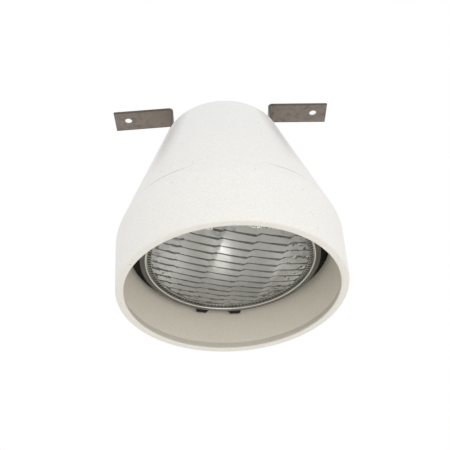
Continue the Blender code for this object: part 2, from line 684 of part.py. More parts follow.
def make_ring(shop):
    """The retaining ring with its thumb tab; it swings on the hinge's axis."""
    low = RING_HEIGHT
    bead_low = low - 0.8 * MM
    upstand = RING_OUTER_R - 1.3 * MM
    outline = corner_arcs([
        (RING_INNER_R, low + RING_SHEET, 0.4 * MM),
        (upstand, low + RING_SHEET),
        (upstand, HINGE_HEIGHT),
        (RING_OUTER_R, HINGE_HEIGHT),
        (RING_OUTER_R, low, 0.6 * MM),
        (RING_INNER_R + 1.8 * MM, low),
        (RING_INNER_R + 1.2 * MM, bead_low, 0.3 * MM),
        (RING_INNER_R, bead_low, 0.4 * MM),
    ], 2)
    mesh = turned_mesh("retaining_ring", outline)
    mesh.transform(shop.home)
    ring = shop.place("retaining_ring", mesh, "ring_steel", shop.ring_axis)
    root = 2.5 * MM - RING_OUTER_R
    end = THUMB_Y - 4 * MM
    half = 6 * MM
    outline = corner_arcs([(-half, root), (-half, end, half / 2), (half, end, half / 2),
                           (half, root)], 3)
    tab = outline_mesh("tab", outline, RING_SHEET * 0.8, centre=(0, 0, low + RING_SHEET / 2))
    tab.transform(shop.home)
    shop.cut(ring, tab, "UNION")
    hole = drill_mesh(2.5 * MM, (0, THUMB_Y), low - THROUGH, low + THROUGH)
    hole.transform(shop.home)
    shop.cut(ring, hole)


def make_hinge_straps(shop):
    """Two straps, spot welded to the ring's edge, whose rolled eyes turn on the hinge pins."""
    low = RING_HEIGHT + 0.1 * MM
    thick = 1.0 * MM
    start = RING_OUTER_R + GAP
    end = 97.0 * MM
    start_half = math.atan(7.2 * MM / start)
    end_half = math.atan(5.4 * MM / end)
    eye_half = 4.6 * MM
    for name, side in (("left", -1), ("right", 1)):
        x = side * STRAP_X
        middle = math.acos(x / RING_OUTER_R)
        outline = [polar(start, middle + start_half * step / 3) for step in (3, 1, -1, -3)]
        outline += [polar(end, middle + end_half * step) for step in (-1, 1)]
        plate = outline_mesh("strap", outline, thick, centre=(0, 0, low + thick / 2))
        plate.transform(shop.home)
        strap = shop.place(f"hinge_strap_{name}", plate, "black_steel", shop.ring_axis)
        web = box_mesh("web", (x - eye_half, HINGE_Y + 1.3 * MM, low + 0.2 * MM),
                       (x + eye_half, HINGE_Y + 2.3 * MM, HINGE_HEIGHT))
        web.transform(shop.home)
        shop.cut(strap, web, "UNION")
        for radius, half, sides, operation in ((2.3 * MM, eye_half, 16, "UNION"),
                                               (PIN_HOLE_R, eye_half + MM, 12, "DIFFERENCE")):
            eye = rod_mesh("eye", radius, (x - half, HINGE_Y, HINGE_HEIGHT),
                           (x + half, HINGE_Y, HINGE_HEIGHT), sides)
            eye.transform(shop.home)
            shop.cut(strap, eye, operation)


def make_thumb_screw(shop):
    """The captive thumb screw that closes the ring, and the clip that keeps it in the tab."""
    clip_low = RING_HEIGHT + RING_SHEET + GAP
    clip = tube_mesh("thumb_screw_clip", 4.0 * MM, 2.3 * MM, clip_low, clip_low + MM)
    clip.transform(shop.home @ Matrix.Translation((0, THUMB_Y, 0)))
    shop.place("thumb_screw_clip", clip, "zinc_steel", shop.ring_axis)

    shank_r = 2.0 * MM
    shank_top = CARRIER_HEIGHT + 5 * MM
    collar_r = 4.5 * MM
    collar_top = RING_HEIGHT - 0.2 * MM
    knob_top = collar_top - 0.2 * MM
    knob_low = knob_top - KNOB_HEIGHT
    outline = corner_arcs([(0, shank_top), (shank_r, shank_top, 0.6 * MM), (shank_r, collar_top),
                           (collar_r, collar_top), (KNOB_R, knob_top - 1.2 * MM),
                           (KNOB_R, knob_low, 1.2 * MM), (0, knob_low)], 2)
    screw = turned_mesh("thumb_screw", outline, False, 16)
    screw.transform(shop.home @ Matrix.Translation((0, THUMB_Y, 0)))
    shop.place("thumb_screw", screw, "black_steel", shop.ring_axis)


def main():
    shop = Workshop()
    make_shade(shop)
    make_bracket(shop, "bracket_left", -1)
    make_bracket(shop, "bracket_right", 1)
    make_bracket_fixings(shop)
    make_gland(shop)
    make_carrier(shop)
    make_hinge_pins(shop)
    make_lamp(shop)
    make_lampholder(shop)
    make_wiring(shop)
    make_ring(shop)
    make_hinge_straps(shop)
    make_thumb_screw(shop)


main()
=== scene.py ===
"""Looks of a ceiling heat lamp: a white shade on two bent brackets, round a sealed beam lamp.

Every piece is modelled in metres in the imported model's own frame, whose origin is on the ceiling
plane and on the shade's axis. A height that is called "above the mouth" is measured up from the
shade's lowest plane.
"""
import json
import logging
import math
from dataclasses import dataclass
from enum import Enum
from typing import Callable, Iterable, Sequence

import bmesh
import bpy
from mathutils import Matrix, Vector, noise


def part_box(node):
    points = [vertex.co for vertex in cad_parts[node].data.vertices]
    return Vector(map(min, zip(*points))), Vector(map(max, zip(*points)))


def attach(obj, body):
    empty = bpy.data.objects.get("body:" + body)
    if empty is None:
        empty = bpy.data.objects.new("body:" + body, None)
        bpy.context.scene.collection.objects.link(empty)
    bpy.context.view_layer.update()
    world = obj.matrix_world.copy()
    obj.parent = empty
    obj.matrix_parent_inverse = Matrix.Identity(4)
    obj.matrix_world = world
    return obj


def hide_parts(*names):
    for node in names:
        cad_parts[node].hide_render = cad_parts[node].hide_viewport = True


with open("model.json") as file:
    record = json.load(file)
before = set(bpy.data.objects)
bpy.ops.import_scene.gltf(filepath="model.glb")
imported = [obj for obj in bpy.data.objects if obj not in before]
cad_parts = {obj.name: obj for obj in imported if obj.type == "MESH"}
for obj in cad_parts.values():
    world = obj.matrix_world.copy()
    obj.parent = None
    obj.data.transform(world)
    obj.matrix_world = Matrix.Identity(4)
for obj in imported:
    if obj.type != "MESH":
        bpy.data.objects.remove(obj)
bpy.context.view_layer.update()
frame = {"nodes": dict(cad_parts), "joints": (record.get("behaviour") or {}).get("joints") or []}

LOG = logging.getLogger("heat_lamp")
MM = 0.001
WELD = 0.001 * MM
FULL_TURN = 2 * math.pi

MOUTH_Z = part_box("shade")[0].z
HINGE = next(joint for joint in frame["joints"] if joint["name"] == "ring_hinge")
CLOCK = math.atan2(HINGE["axis"][1], HINGE["axis"][0])
CLOCKED = Matrix.Rotation(CLOCK, 4, "Z")

Shape = bmesh.types.BMesh
Outline = Sequence[Sequence[float]]
Colour = tuple[float, float, float]
Socket = bpy.types.NodeSocket


class Body(Enum):
    """The moving bodies of the fixture."""

    FIXTURE = "fixture"
    RING = "ring"
    THUMB_SCREW = "thumb_screw"


class Side(Enum):
    """The two sides of the fixture, along X."""

    LEFT = -1
    RIGHT = 1


class Cut(Enum):
    """What a tool does to the shape that it meets."""

    AWAY = "DIFFERENCE"
    JOIN = "UNION"
    COMMON = "INTERSECT"


# ---------------------------------------------------------------- shapes


def level(height: float) -> float:
    """Gives the Z of a height above the mouth."""
    return MOUTH_Z + height


def round_corners(corners: Outline, steps: int = 6, closed: bool = True) -> list[Vector]:
    """Rounds the corners of an outline.

    Args:
        corners: points (x, y), or (x, y, radius) where the corner is round.
        steps: flat stretches in each round corner.
        closed: whether the first corner follows the last one.

    Returns:
        The outline's points, in order.
    """
    count = len(corners)
    points = []
    for index, corner in enumerate(corners):
        here = Vector(corner[:2])
        at_end = not closed and index in (0, count - 1)
        if len(corner) == 2 or at_end:
            points.append(here)
            continue
        before = (Vector(corners[index - 1][:2]) - here).normalized()
        after = (Vector(corners[(index + 1) % count][:2]) - here).normalized()
        half = before.angle(after) / 2
        reach = corner[2] / math.tan(half)
        centre = here + (before + after).normalized() * (corner[2] / math.sin(half))
        start = here + before * reach - centre
        turn = start.angle_signed(here + after * reach - centre)
        for step in range(steps + 1):
            points.append(centre + Matrix.Rotation(-turn * step / steps, 2) @ start)
    return points


def tidied(shape: Shape) -> Shape:
    """Merges a shape's doubles and points its faces outwards.

    Args:
        shape: the shape to mend.

    Returns:
        The same shape.
    """
    bmesh.ops.remove_doubles(shape, verts=shape.verts, dist=WELD)
    bmesh.ops.recalc_face_normals(shape, faces=shape.faces)
    return shape


def turned(outline: Outline, steps: int, closed: bool = True) -> Shape:
    """Spins an outline of (radius, Z) points about the Z axis.

    Args:
        outline: the section's points, from the top of its outer side downwards.
        steps: flat stretches in one full turn.
        closed: whether the section closes on itself, as a ring's does.

    Returns:
        The turned shape.
    """
    shape = bmesh.new()
    points = [shape.verts.new((point[0], 0, point[1])) for point in outline]
    pairs = list(zip(points, points[1:]))
    if closed:
        pairs.append((points[-1], points[0]))
    edges = [shape.edges.new(pair) for pair in pairs]
    bmesh.ops.spin(shape, geom=points + edges, cent=(0, 0, 0), axis=(0, 0, 1), angle=FULL_TURN,
                   steps=steps, use_merge=True, use_duplicate=False)
    return tidied(shape)


def slab(outline: Outline, thickness: float, place: Matrix) -> Shape:
    """Extrudes a flat outline both ways from its own plane.

    Args:
        outline: the outline's points in X and Y.
        thickness: how thick the slab is.
        place: where the slab goes.

    Returns:
        The slab.
    """
    shape = bmesh.new()
    face = shape.faces.new([shape.verts.new((point[0], point[1], 0)) for point in outline])
    grown = bmesh.ops.extrude_face_region(shape, geom=[face])["geom"]
    fresh = [item for item in grown if isinstance(item, bmesh.types.BMVert)]
    bmesh.ops.translate(shape, vec=(0, 0, thickness), verts=fresh)
    bmesh.ops.translate(shape, vec=(0, 0, -thickness / 2), verts=shape.verts)
    bmesh.ops.transform(shape, matrix=place, verts=shape.verts)
    return tidied(shape)


def rod(radius: float, start: Vector, end: Vector, sides: int = 32) -> Shape:
    """Makes a round or many-sided rod from one point to another.

    Args:
        radius: its radius, or its corner radius when it has few sides.
        start: centre of one end.
        end: centre of the other end.
        sides: number of flats round it.

    Returns:
        The rod.
    """
    shape = bmesh.new()
    along = Vector(end) - Vector(start)
    bmesh.ops.create_cone(shape, cap_ends=True, segments=sides, radius1=radius, radius2=radius,
                          depth=along.length)
    turn = Vector((0, 0, 1)).rotation_difference(along).to_matrix().to_4x4()
    middle = Matrix.Translation((Vector(start) + Vector(end)) / 2)
    bmesh.ops.transform(shape, matrix=middle @ turn, verts=shape.verts)
    return shape


def drill(radius: float, x: float, y: float, low: float, high: float, sides: int = 32) -> Shape:
    """Makes an upright rod at X and Y, between two Z values.

    Args:
        radius: the rod's radius.
        x: X of its axis.
        y: Y of its axis.
        low: Z of its lower end.
        high: Z of its upper end.
        sides: number of flats round it.

    Returns:
        The rod.
    """
    return rod(radius, Vector((x, y, low)), Vector((x, y, high)), sides)


def soften(shape: Shape, width: float, segments: int = 2, over: float = 30.0) -> Shape:
    """Bevels every edge of a shape that turns by more than an angle in degrees.

    Args:
        shape: the shape to bevel.
        width: width of the bevel.
        segments: flats across each bevel.
        over: the least turn, in degrees.

    Returns:
        The same shape.
    """
    limit = math.radians(over)
    sharp = [edge for edge in shape.edges if edge.is_manifold and edge.calc_face_angle() > limit]
    bmesh.ops.bevel(shape, geom=sharp, offset=width, segments=segments, profile=0.5,
                    affect="EDGES", material=-1, clamp_overlap=True)
    return shape


def combined(body: Shape, tool: Shape, cut: Cut) -> Shape:
    """Cuts a tool out of a shape, joins it on, or keeps what the two share.

    Args:
        body: the shape to change, which is used up.
        tool: the tool, which is used up.
        cut: what the tool does.

    Returns:
        The new shape.
    """
    items = []
    for name, shape in (("body", body), ("tool", tool)):
        mesh = bpy.data.meshes.new(name)
        shape.to_mesh(mesh)
        shape.free()
        item = bpy.data.objects.new(name, mesh)
        bpy.context.scene.collection.objects.link(item)
        items.append(item)
    step = items[0].modifiers.new("cut", "BOOLEAN")
    step.operation = cut.value
    step.object = items[1]
    bpy.context.view_layer.update()
    evaluated = items[0].evaluated_get(bpy.context.evaluated_depsgraph_get())
    mesh = bpy.data.meshes.new_from_object(evaluated)
    result = bmesh.new()
    result.from_mesh(mesh)
    for item in items:
        spare = item.data
        bpy.data.objects.remove(item)
        bpy.data.meshes.remove(spare)
    bpy.data.meshes.remove(mesh)
    bmesh.ops.remove_doubles(result, verts=result.verts, dist=WELD)
    return result


def hexagon(radius: float, x: float, y: float, low: float, high: float, chamfer: float,
            both: bool = False) -> Shape:
    """Makes a hexagonal head or nut whose corners are turned off.

    Args:
        radius: corner radius of the hexagon.
        x: X of its axis.
        y: Y of its axis.
        low: Z of its lower face.
        high: Z of its upper face.
        chamfer: height of the turned part at the corners.
        both: whether both faces are turned off, and not the upper one only.

    Returns:
        The head.
    """
    flat = radius * 0.9
    bottom = [(radius, low + chamfer), (flat, low)] if both else [(radius, low)]
    outline = [(0, high), (flat, high), (radius, high - chamfer), *bottom, (0, low)]
    prism = drill(radius, 0, 0, low, high, 6)
    head = combined(prism, turned(outline, 48, closed=False), Cut.COMMON)
    bmesh.ops.translate(head, vec=(x, y, 0), verts=head.verts)
    return head


def published(name: str, shape: Shape, finishes: Sequence[bpy.types.Material], body: Body,
              stands_for: Iterable[str] = (), crease: float = 35.0) -> bpy.types.Object:
    """Makes a shape into a named piece of the fixture.

    Args:
        name: the piece's name.
        shape: its shape, which is used up.
        finishes: its materials, in the order of the shape's material numbers.
        body: the body that it moves with.
        stands_for: the nodes that it replaces.
        crease: the angle in degrees past which an edge stays sharp.

    Returns:
        The piece.
    """
    mesh = bpy.data.meshes.new(name)
    shape.to_mesh(mesh)
    shape.free()
    for finish in finishes:
        mesh.materials.append(finish)
    mesh.shade_smooth()
    mesh.set_sharp_from_angle(angle=math.radians(crease))
    piece = bpy.data.objects.new(name, mesh)
    bpy.context.scene.collection.objects.link(piece)
    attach(piece, body.value)
    nodes = list(stands_for)
    if nodes:
        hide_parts(*nodes)
    LOG.info("made %s: %d faces", name, len(mesh.polygons))
    return piece


def dressed(node: str, finish: bpy.types.Material, edge: float = 0.25 * MM) -> bpy.types.Object:
    """Gives a carried-over piece its finish and small rounded edges.

    Args:
        node: the piece's name.
        finish: its material.
        edge: width of the rounding along its sharp edges.

    Returns:
        The piece.
    """
    piece = frame["nodes"][node]
    piece.data.materials.clear()
    piece.data.materials.append(finish)
    weld = piece.modifiers.new("weld", "WELD")
    weld.merge_threshold = 0.01 * MM
    bevel = piece.modifiers.new("rounded_edges", "BEVEL")
    bevel.width = edge
    bevel.segments = 2
    bevel.limit_method = "ANGLE"
    bevel.angle_limit = math.radians(40)
    bevel.harden_normals = True
    piece.data.shade_smooth()
    piece.data.set_sharp_from_angle(angle=math.radians(35))
    LOG.info("dressed %s", node)
    return piece


# ---------------------------------------------------------------- finishes


class Nodes:
    """Adds and links the shader nodes of one material."""

    def __init__(self, name: str) -> None:
        """Starts a material with its Principled shader and its Object coordinates.

        Args:
            name: the material's name.
        """
        self.material = bpy.data.materials.new(name)
        self.material.use_nodes = True
        self.tree = self.material.node_tree
        self.shader = self.tree.nodes["Principled BSDF"]
        self.place = self.tree.nodes.new("ShaderNodeTexCoord").outputs["Object"]

    def constant(self, **values: float) -> None:
        """Sets the shader's own sockets.

        Args:
            **values: the sockets' values; an underscore in a name stands for a space.
        """
        for name, value in values.items():
            self.shader.inputs[name.replace("_", " ")].default_value = value

    def drive(self, name: str, source: Socket) -> None:
        """Links a socket to one of the shader's inputs."""
        self.tree.links.new(source, self.shader.inputs[name])

    def _fill(self, node: bpy.types.Node, index: int, value: Socket | float | Colour) -> None:
        """Links or sets one input of a node.

        Args:
            node: the node.
            index: the input's number.
            value: what goes into it.
        """
        if isinstance(value, bpy.types.NodeSocket):
            self.tree.links.new(value, node.inputs[index])
        elif isinstance(value, tuple) and len(node.inputs[index].default_value) == 4:
            node.inputs[index].default_value = (*value, 1.0)
        else:
            node.inputs[index].default_value = value

    def stretched(self, scale: Colour, turn: float = 0.0) -> Socket:
        """Stretches and turns the Object coordinates.

        Args:
            scale: stretch along X, Y and Z.
            turn: turn about Z in radians.

        Returns:
            The changed coordinates.
        """
        node = self.tree.nodes.new("ShaderNodeMapping")
        self.tree.links.new(self.place, node.inputs["Vector"])
        node.inputs["Rotation"].default_value = (0, 0, turn)
        node.inputs["Scale"].default_value = scale
        return node.outputs["Vector"]

    def noise(self, scale: float, detail: float = 3.0, rough: float = 0.5,
              vector: Socket | None = None) -> Socket:
        """Adds a noise pattern, with its scale in waves per metre.

        Args:
            scale: waves per metre.
            detail: number of finer layers.
            rough: weight of the finer layers.
            vector: coordinates in place of the object's own.

        Returns:
            The pattern, about 0 to 1.
        """
        node = self.tree.nodes.new("ShaderNodeTexNoise")
        self.tree.links.new(vector or self.place, node.inputs["Vector"])
        node.inputs["Scale"].default_value = scale
        node.inputs["Detail"].default_value = detail
        node.inputs["Roughness"].default_value = rough
        return node.outputs["Fac"]

    def cells(self, scale: float, output: str = "Distance", vector: Socket | None = None) -> Socket:
        """Adds a cell pattern, and gives its distance or its cell colour.

        Args:
            scale: cells per metre.
            output: which of the pattern's outputs to give.
            vector: coordinates in place of the object's own.

        Returns:
            The output asked for.
        """
        node = self.tree.nodes.new("ShaderNodeTexVoronoi")
        self.tree.links.new(vector or self.place, node.inputs["Vector"])
        node.inputs["Scale"].default_value = scale
        return node.outputs[output]

    def math(self, operation: str, first: Socket | float, second: Socket | float = 0.0) -> Socket:
        """Adds a sum on two values.

        Args:
            operation: the sum's name.
            first: its first value.
            second: its second value.

        Returns:
            The result.
        """
        node = self.tree.nodes.new("ShaderNodeMath")
        node.operation = operation
        self._fill(node, 0, first)
        self._fill(node, 1, second)
        return node.outputs[0]

    def spread(self, value: Socket, start: float, end: float, low: float = 0.0,
               high: float = 1.0) -> Socket:
        """Maps the stretch from start to end onto low to high, and holds it at both ends.

        Args:
            value: the value to map.
            start: where the stretch begins.
            end: where it ends.
            low: result at the start.
            high: result at the end.

        Returns:
            The mapped value.
        """
        node = self.tree.nodes.new("ShaderNodeMapRange")
        self.tree.links.new(value, node.inputs["Value"])
        for name, number in (("From Min", start), ("From Max", end), ("To Min", low),
                             ("To Max", high)):
            node.inputs[name].default_value = number
        return node.outputs["Result"]

    def mix(self, factor: Socket | float, first: Socket | Colour, second: Socket | Colour,
            blend: str = "MIX") -> Socket:
        """Mixes two colours.

        Args:
            factor: share of the second colour.
            first: the first colour.
            second: the second colour.
            blend: how they are mixed.

        Returns:
            The mixed colour.
        """
        node = self.tree.nodes.new("ShaderNodeMix")
        node.data_type = "RGBA"
        node.blend_type = blend
        self._fill(node, 0, factor)
        self._fill(node, 6, first)
        self._fill(node, 7, second)
        return node.outputs[2]

    def axis(self, letter: str) -> Socket:
        """Gives one of the Object coordinates.

        Args:
            letter: X, Y or Z.

        Returns:
            That coordinate.
        """
        node = self.tree.nodes.new("ShaderNodeSeparateXYZ")
        self.tree.links.new(self.place, node.inputs[0])
        return node.outputs[letter]

    def radius(self) -> Socket:
        """Gives the distance from the shade's axis.

        Returns:
            The distance.
        """
        node = self.tree.nodes.new("ShaderNodeVectorMath")
        node.operation = "LENGTH"
        self.tree.links.new(self.stretched((1, 1, 0)), node.inputs[0])
        return node.outputs["Value"]

    def bump(self, height: Socket, depth: float, strength: float = 1.0) -> None:
        """Raises the surface by a pattern, on top of any bump that it already has.

        Args:
            height: the pattern.
            depth: its full height in metres.
            strength: share of it that shows.
        """
        node = self.tree.nodes.new("ShaderNodeBump")
        node.inputs["Strength"].default_value = strength
        node.inputs["Distance"].default_value = depth
        self.tree.links.new(height, node.inputs["Height"])
        links = self.shader.inputs["Normal"].links
        if links:
            self.tree.links.new(links[0].from_socket, node.inputs["Normal"])
        self.tree.links.new(node.outputs["Normal"], self.shader.inputs["Normal"])


@dataclass(frozen=True)
class Enamel:
    """White stoved enamel, cream near the mouth where heat aged it; painted shade makes it greyer high
    up, dimmer inside, creamier on the far rim, and grey under the brackets and along the seam.
    """

    # Painted shade: the first colour below greys the cone towards its top, where less light falls.
    shaded_top: Colour = (0.86, 0.86, 0.845)
    warm: Colour = (0.89, 0.875, 0.845)
    # Partly painted shade: this cream is laid on more strongly on the far side of the rim.
    aged: Colour = (0.89, 0.87, 0.805)
    # Painted shade: a dimmer, warmer copy of the enamel for the inner wall.
    inside: Colour = (0.86, 0.815, 0.71)
    speck: Colour = (0.22, 0.19, 0.15)
    # Painted shade: this grey darkens the cone under the brackets and along the seam.
    dull_grey: Colour = (0.47, 0.46, 0.44)
    seam_height: float = 71.5 * MM

    def make(self) -> bpy.types.Material:
        """Builds the material.

        Returns:
            The material.
        """
        nodes = Nodes("white_enamel")
        # Painted shade: the enamel turns greyer towards the top of the cone, standing in for the light
        # that falls off up there.
        clouds = nodes.noise(14, 4, 0.6)
        height = nodes.math("SUBTRACT", nodes.axis("Z"), MOUTH_Z)
        top_shade_share = nodes.spread(nodes.math("ADD", height, nodes.math("MULTIPLY", clouds, 60 * MM)),
                            70 * MM, 190 * MM)
        colour = nodes.mix(top_shade_share, self.warm, self.shaded_top)
        # Cream band on the rim, partly heat ageing and partly painted shade: it grows towards the far
        # side (+Y), where less of the front light falls.
        rim_cream_and_far_shade = nodes.math("MULTIPLY", nodes.spread(height, 0.5 * MM, 5 * MM, 1.0, 0.0),
                                nodes.spread(nodes.axis("Y"), -70 * MM, 30 * MM, 0.3, 1.0))
        colour = nodes.mix(rim_cream_and_far_shade, colour, self.aged)
        # Painted shade: the inner wall, below the return wall's top and above the lip, takes the
        # dimmer, warmer copy of the enamel.
        inner = nodes.spread(nodes.radius(), 105.5 * MM, 107.5 * MM, 1.0, 0.0)
        low = nodes.spread(height, 54 * MM, 58 * MM, 1.0, 0.0)
        above_lip = nodes.spread(height, 1.0 * MM, 3.0 * MM)
        inner = nodes.math("MULTIPLY", nodes.math("MULTIPLY", inner, low), above_lip)
        colour = nodes.mix(inner, colour, self.inside)
        # Painted shade: grey bands down the cone under the brackets.
        painted_shade_share = nodes.math("MULTIPLY", self._bracket_shade(nodes, height), 0.5)
        colour = nodes.mix(painted_shade_share, colour, self.dull_grey)
        # Painted shade: a grey line along the seam at the two sides of the cone.
        painted_shade_share = nodes.math("MULTIPLY", self._seam_shade(nodes, height), 0.7)
        colour = nodes.mix(painted_shade_share, colour, self.dull_grey)
        grain = nodes.spread(nodes.noise(650, 3, 0.75), 0.30, 0.70, 0.90, 1.04)
        colour = nodes.mix(1.0, colour, self._grey(nodes, grain), "MULTIPLY")
        rare = nodes.spread(nodes.noise(90, 1), 0.70, 0.71)
        dots = nodes.spread(nodes.cells(420), 0.14, 0.2, 1.0, 0.0)
        colour = nodes.mix(nodes.math("MULTIPLY", rare, dots), colour, self.speck)
        nodes.drive("Base Color", colour)
        nodes.drive("Roughness", nodes.spread(nodes.noise(40, 5, 0.7), 0.3, 0.7, 0.38, 0.56))
        nodes.constant(Coat_Weight=0.12, Coat_Roughness=0.3)
        nodes.bump(nodes.noise(260, 2), 0.10 * MM, 0.35)
        nodes.bump(nodes.noise(1300, 2), 0.03 * MM, 0.3)
        return nodes.material

    def _bracket_shade(self, nodes: Nodes, height: Socket) -> Socket:
        """Masks the painted shade in two grey bands down the cone under the brackets, where the flanges
        shade it and darken its reflection.

        Args:
            nodes: the material's nodes.
            height: height above the mouth.

        Returns:
            The mask, 0 to 1.
        """
        side = nodes.math("DIVIDE", nodes.axis("Y"), nodes.radius())
        ahead = nodes.spread(side, -0.86, -0.74)
        behind = nodes.spread(side, -0.70, -0.58, 1.0, 0.0)
        high = nodes.spread(height, 95 * MM, 165 * MM)
        return nodes.math("MULTIPLY", nodes.math("MULTIPLY", ahead, behind), high)

    def _seam_shade(self, nodes: Nodes, height: Socket) -> Socket:
        """Masks the painted shade along the seam round the shoulder, at the two sides.

        Args:
            nodes: the material's nodes.
            height: height above the mouth.

        Returns:
            The mask, 0 to 1.
        """
        away = nodes.math("ABSOLUTE", nodes.math("SUBTRACT", height, self.seam_height))
        thin = nodes.spread(away, 0.4 * MM, 1.6 * MM, 1.0, 0.0)
        across = nodes.math("ABSOLUTE", nodes.axis("X"))
        begins = nodes.spread(across, 30 * MM, 50 * MM)
        ends = nodes.spread(across, 66 * MM, 88 * MM, 1.0, 0.0)
        return nodes.math("MULTIPLY", thin, nodes.math("MULTIPLY", begins, ends))

    def _grey(self, nodes: Nodes, value: Socket) -> Socket:
        """Makes a value into a grey colour.

        Args:
            nodes: the material's nodes.
            value: the value.

        Returns:
            The colour.
        """
        node = nodes.tree.nodes.new("ShaderNodeCombineColor")
        for channel in node.inputs:
            nodes.tree.links.new(value, channel)
        return node.outputs[0]


@dataclass(frozen=True)
class StripSteel:
    """Bare rolled strip: brown-grey, mottled, dark along its sheared edges."""

    face: Colour = (0.25, 0.215, 0.19)
    pale: Colour = (0.33, 0.29, 0.26)
    edge: Colour = (0.09, 0.075, 0.065)
    half_width: float = 14 * MM

    def make(self) -> bpy.types.Material:
        """Builds the material.

        Returns:
            The material.
        """
        nodes = Nodes("bracket_steel")
        rolled = nodes.noise(55, 6, 0.65, nodes.stretched((0.35, 1.6, 1)))
        colour = nodes.mix(nodes.spread(rolled, 0.35, 0.72), self.face, self.pale)
        blots = nodes.spread(nodes.noise(170, 4, 0.7), 0.52, 0.7)
        colour = nodes.mix(nodes.math("MULTIPLY", blots, 0.6), colour, self.edge)
        across = nodes.math("ABSOLUTE", nodes.axis("Y"))
        rim = nodes.spread(across, self.half_width - 1.6 * MM, self.half_width - 0.4 * MM)
        colour = nodes.mix(nodes.math("MULTIPLY", rim, 0.75), colour, self.edge)
        nodes.drive("Base Color", colour)
        nodes.constant(Metallic=0.75)
        nodes.drive("Roughness", nodes.spread(rolled, 0.3, 0.75, 0.42, 0.62))
        nodes.bump(nodes.noise(400, 3, 0.6, nodes.stretched((0.08, 1, 1))), 0.05 * MM, 0.4)
        nodes.bump(blots, 0.04 * MM, 0.3)
        return nodes.material


@dataclass(frozen=True)
class ZincPlate:
    """Zinc plated steel with a faint spangle."""

    bright: Colour = (0.58, 0.58, 0.57)
    dull: Colour = (0.36, 0.355, 0.34)

    def make(self) -> bpy.types.Material:
        """Builds the material.

        Returns:
            The material.
        """
        nodes = Nodes("zinc_steel")
        spangle = nodes.cells(600, "Color")
        dull_grey = nodes.spread(nodes.noise(180, 5, 0.65), 0.4, 0.68)
        colour = nodes.mix(dull_grey, self.bright, self.dull)
        nodes.drive("Base Color", nodes.mix(0.07, colour, spangle, "OVERLAY"))
        nodes.constant(Metallic=1.0)
        nodes.drive("Roughness", nodes.spread(dull_grey, 0, 1, 0.28, 0.5))
        nodes.bump(nodes.noise(1500, 3), 0.02 * MM, 0.3)
        return nodes.material


@dataclass(frozen=True)
class BlackFinish:
    """Matt black paint over pressed steel, dusty and thin in places."""

    paint: Colour = (0.006, 0.006, 0.005)
    dust: Colour = (0.035, 0.032, 0.027)

    def make(self) -> bpy.types.Material:
        """Builds the material.

        Returns:
            The material.
        """
        nodes = Nodes("black_steel")
        dusty = nodes.spread(nodes.noise(120, 5, 0.7), 0.5, 0.8)
        nodes.drive("Base Color", nodes.mix(dusty, self.paint, self.dust))
        nodes.drive("Roughness", nodes.spread(dusty, 0, 1, 0.5, 0.8))
        nodes.constant(Specular_IOR_Level=0.2)
        nodes.bump(nodes.noise(1100, 3, 0.6), 0.04 * MM, 0.5)
        return nodes.material


@dataclass(frozen=True)
class TurnedSteel:
    """Bare sheet steel that was spun in a lathe: fine rings round the lamp's axis, and a painted
    highlight along the bead at its inner edge.
    """

    face: Colour = (0.155, 0.15, 0.14)
    line: Colour = (0.34, 0.33, 0.31)
    # Painted highlight: the pale colour below is laid on the bead.
    bead: Colour = (0.80, 0.78, 0.72)
    pitch: float = 0.9 * MM
    bead_radius: float = 85.7 * MM

    def make(self) -> bpy.types.Material:
        """Builds the material.

        Returns:
            The material.
        """
        nodes = Nodes("ring_steel")
        radius = nodes.radius()
        wave = nodes.math("SINE", nodes.math("MULTIPLY", radius, FULL_TURN / self.pitch))
        fine = nodes.math("SINE", nodes.math("MULTIPLY", radius, 2.7 * FULL_TURN / self.pitch))
        rings = nodes.spread(nodes.math("ADD", wave, nodes.math("MULTIPLY", fine, 0.6)), -1.2, 1.6)
        smear = nodes.noise(45, 4, 0.6)
        colour = nodes.mix(nodes.math("MULTIPLY", rings, smear), self.face, self.line)
        # Painted highlight: a pale line along the bead at the ring's inner edge.
        bright = nodes.spread(radius, self.bead_radius, self.bead_radius + 0.3 * MM, 1.0, 0.0)
        nodes.drive("Base Color", nodes.mix(bright, colour, self.bead))
        nodes.constant(Metallic=0.9)
        nodes.drive("Roughness", nodes.spread(smear, 0.3, 0.7, 0.26, 0.44))
        nodes.bump(rings, 0.05 * MM, 0.6)
        return nodes.material


@dataclass(frozen=True)
class PressedGlass:
    """Clear pressed glass, a little wavy from its mould."""

    tint: Colour = (0.985, 0.985, 0.975)

    def make(self) -> bpy.types.Material:
        """Builds the material.

        Returns:
            The material.
        """
        nodes = Nodes("lamp_glass")
        haze = nodes.noise(90, 4, 0.6)
        nodes.drive("Base Color", nodes.mix(nodes.spread(haze, 0.35, 0.75), self.tint,
                                            (0.94, 0.94, 0.925)))
        nodes.constant(Transmission_Weight=0.96, IOR=1.5)
        nodes.drive("Roughness", nodes.spread(haze, 0.3, 0.75, 0.06, 0.16))
        nodes.bump(nodes.noise(320, 3, 0.6), 0.08 * MM, 0.35)
        return nodes.material


@dataclass(frozen=True)
class PrismStepShade:
    """Painted shade on the steep step of each prism, which turns light away and so looks dark."""

    shade: Colour = (0.03, 0.03, 0.028)
    light: Colour = (0.12, 0.12, 0.11)

    def make(self) -> bpy.types.Material:
        """Builds the material.

        Returns:
            The material.
        """
        nodes = Nodes("lamp_glass_step_shade")
        patchy = nodes.spread(nodes.noise(260, 3, 0.6), 0.4, 0.7)
        nodes.drive("Base Color", nodes.mix(patchy, self.shade, self.light))
        nodes.drive("Roughness", nodes.spread(patchy, 0, 1, 0.25, 0.6))
        nodes.bump(nodes.noise(900, 2), 0.05 * MM, 0.4)
        return nodes.material


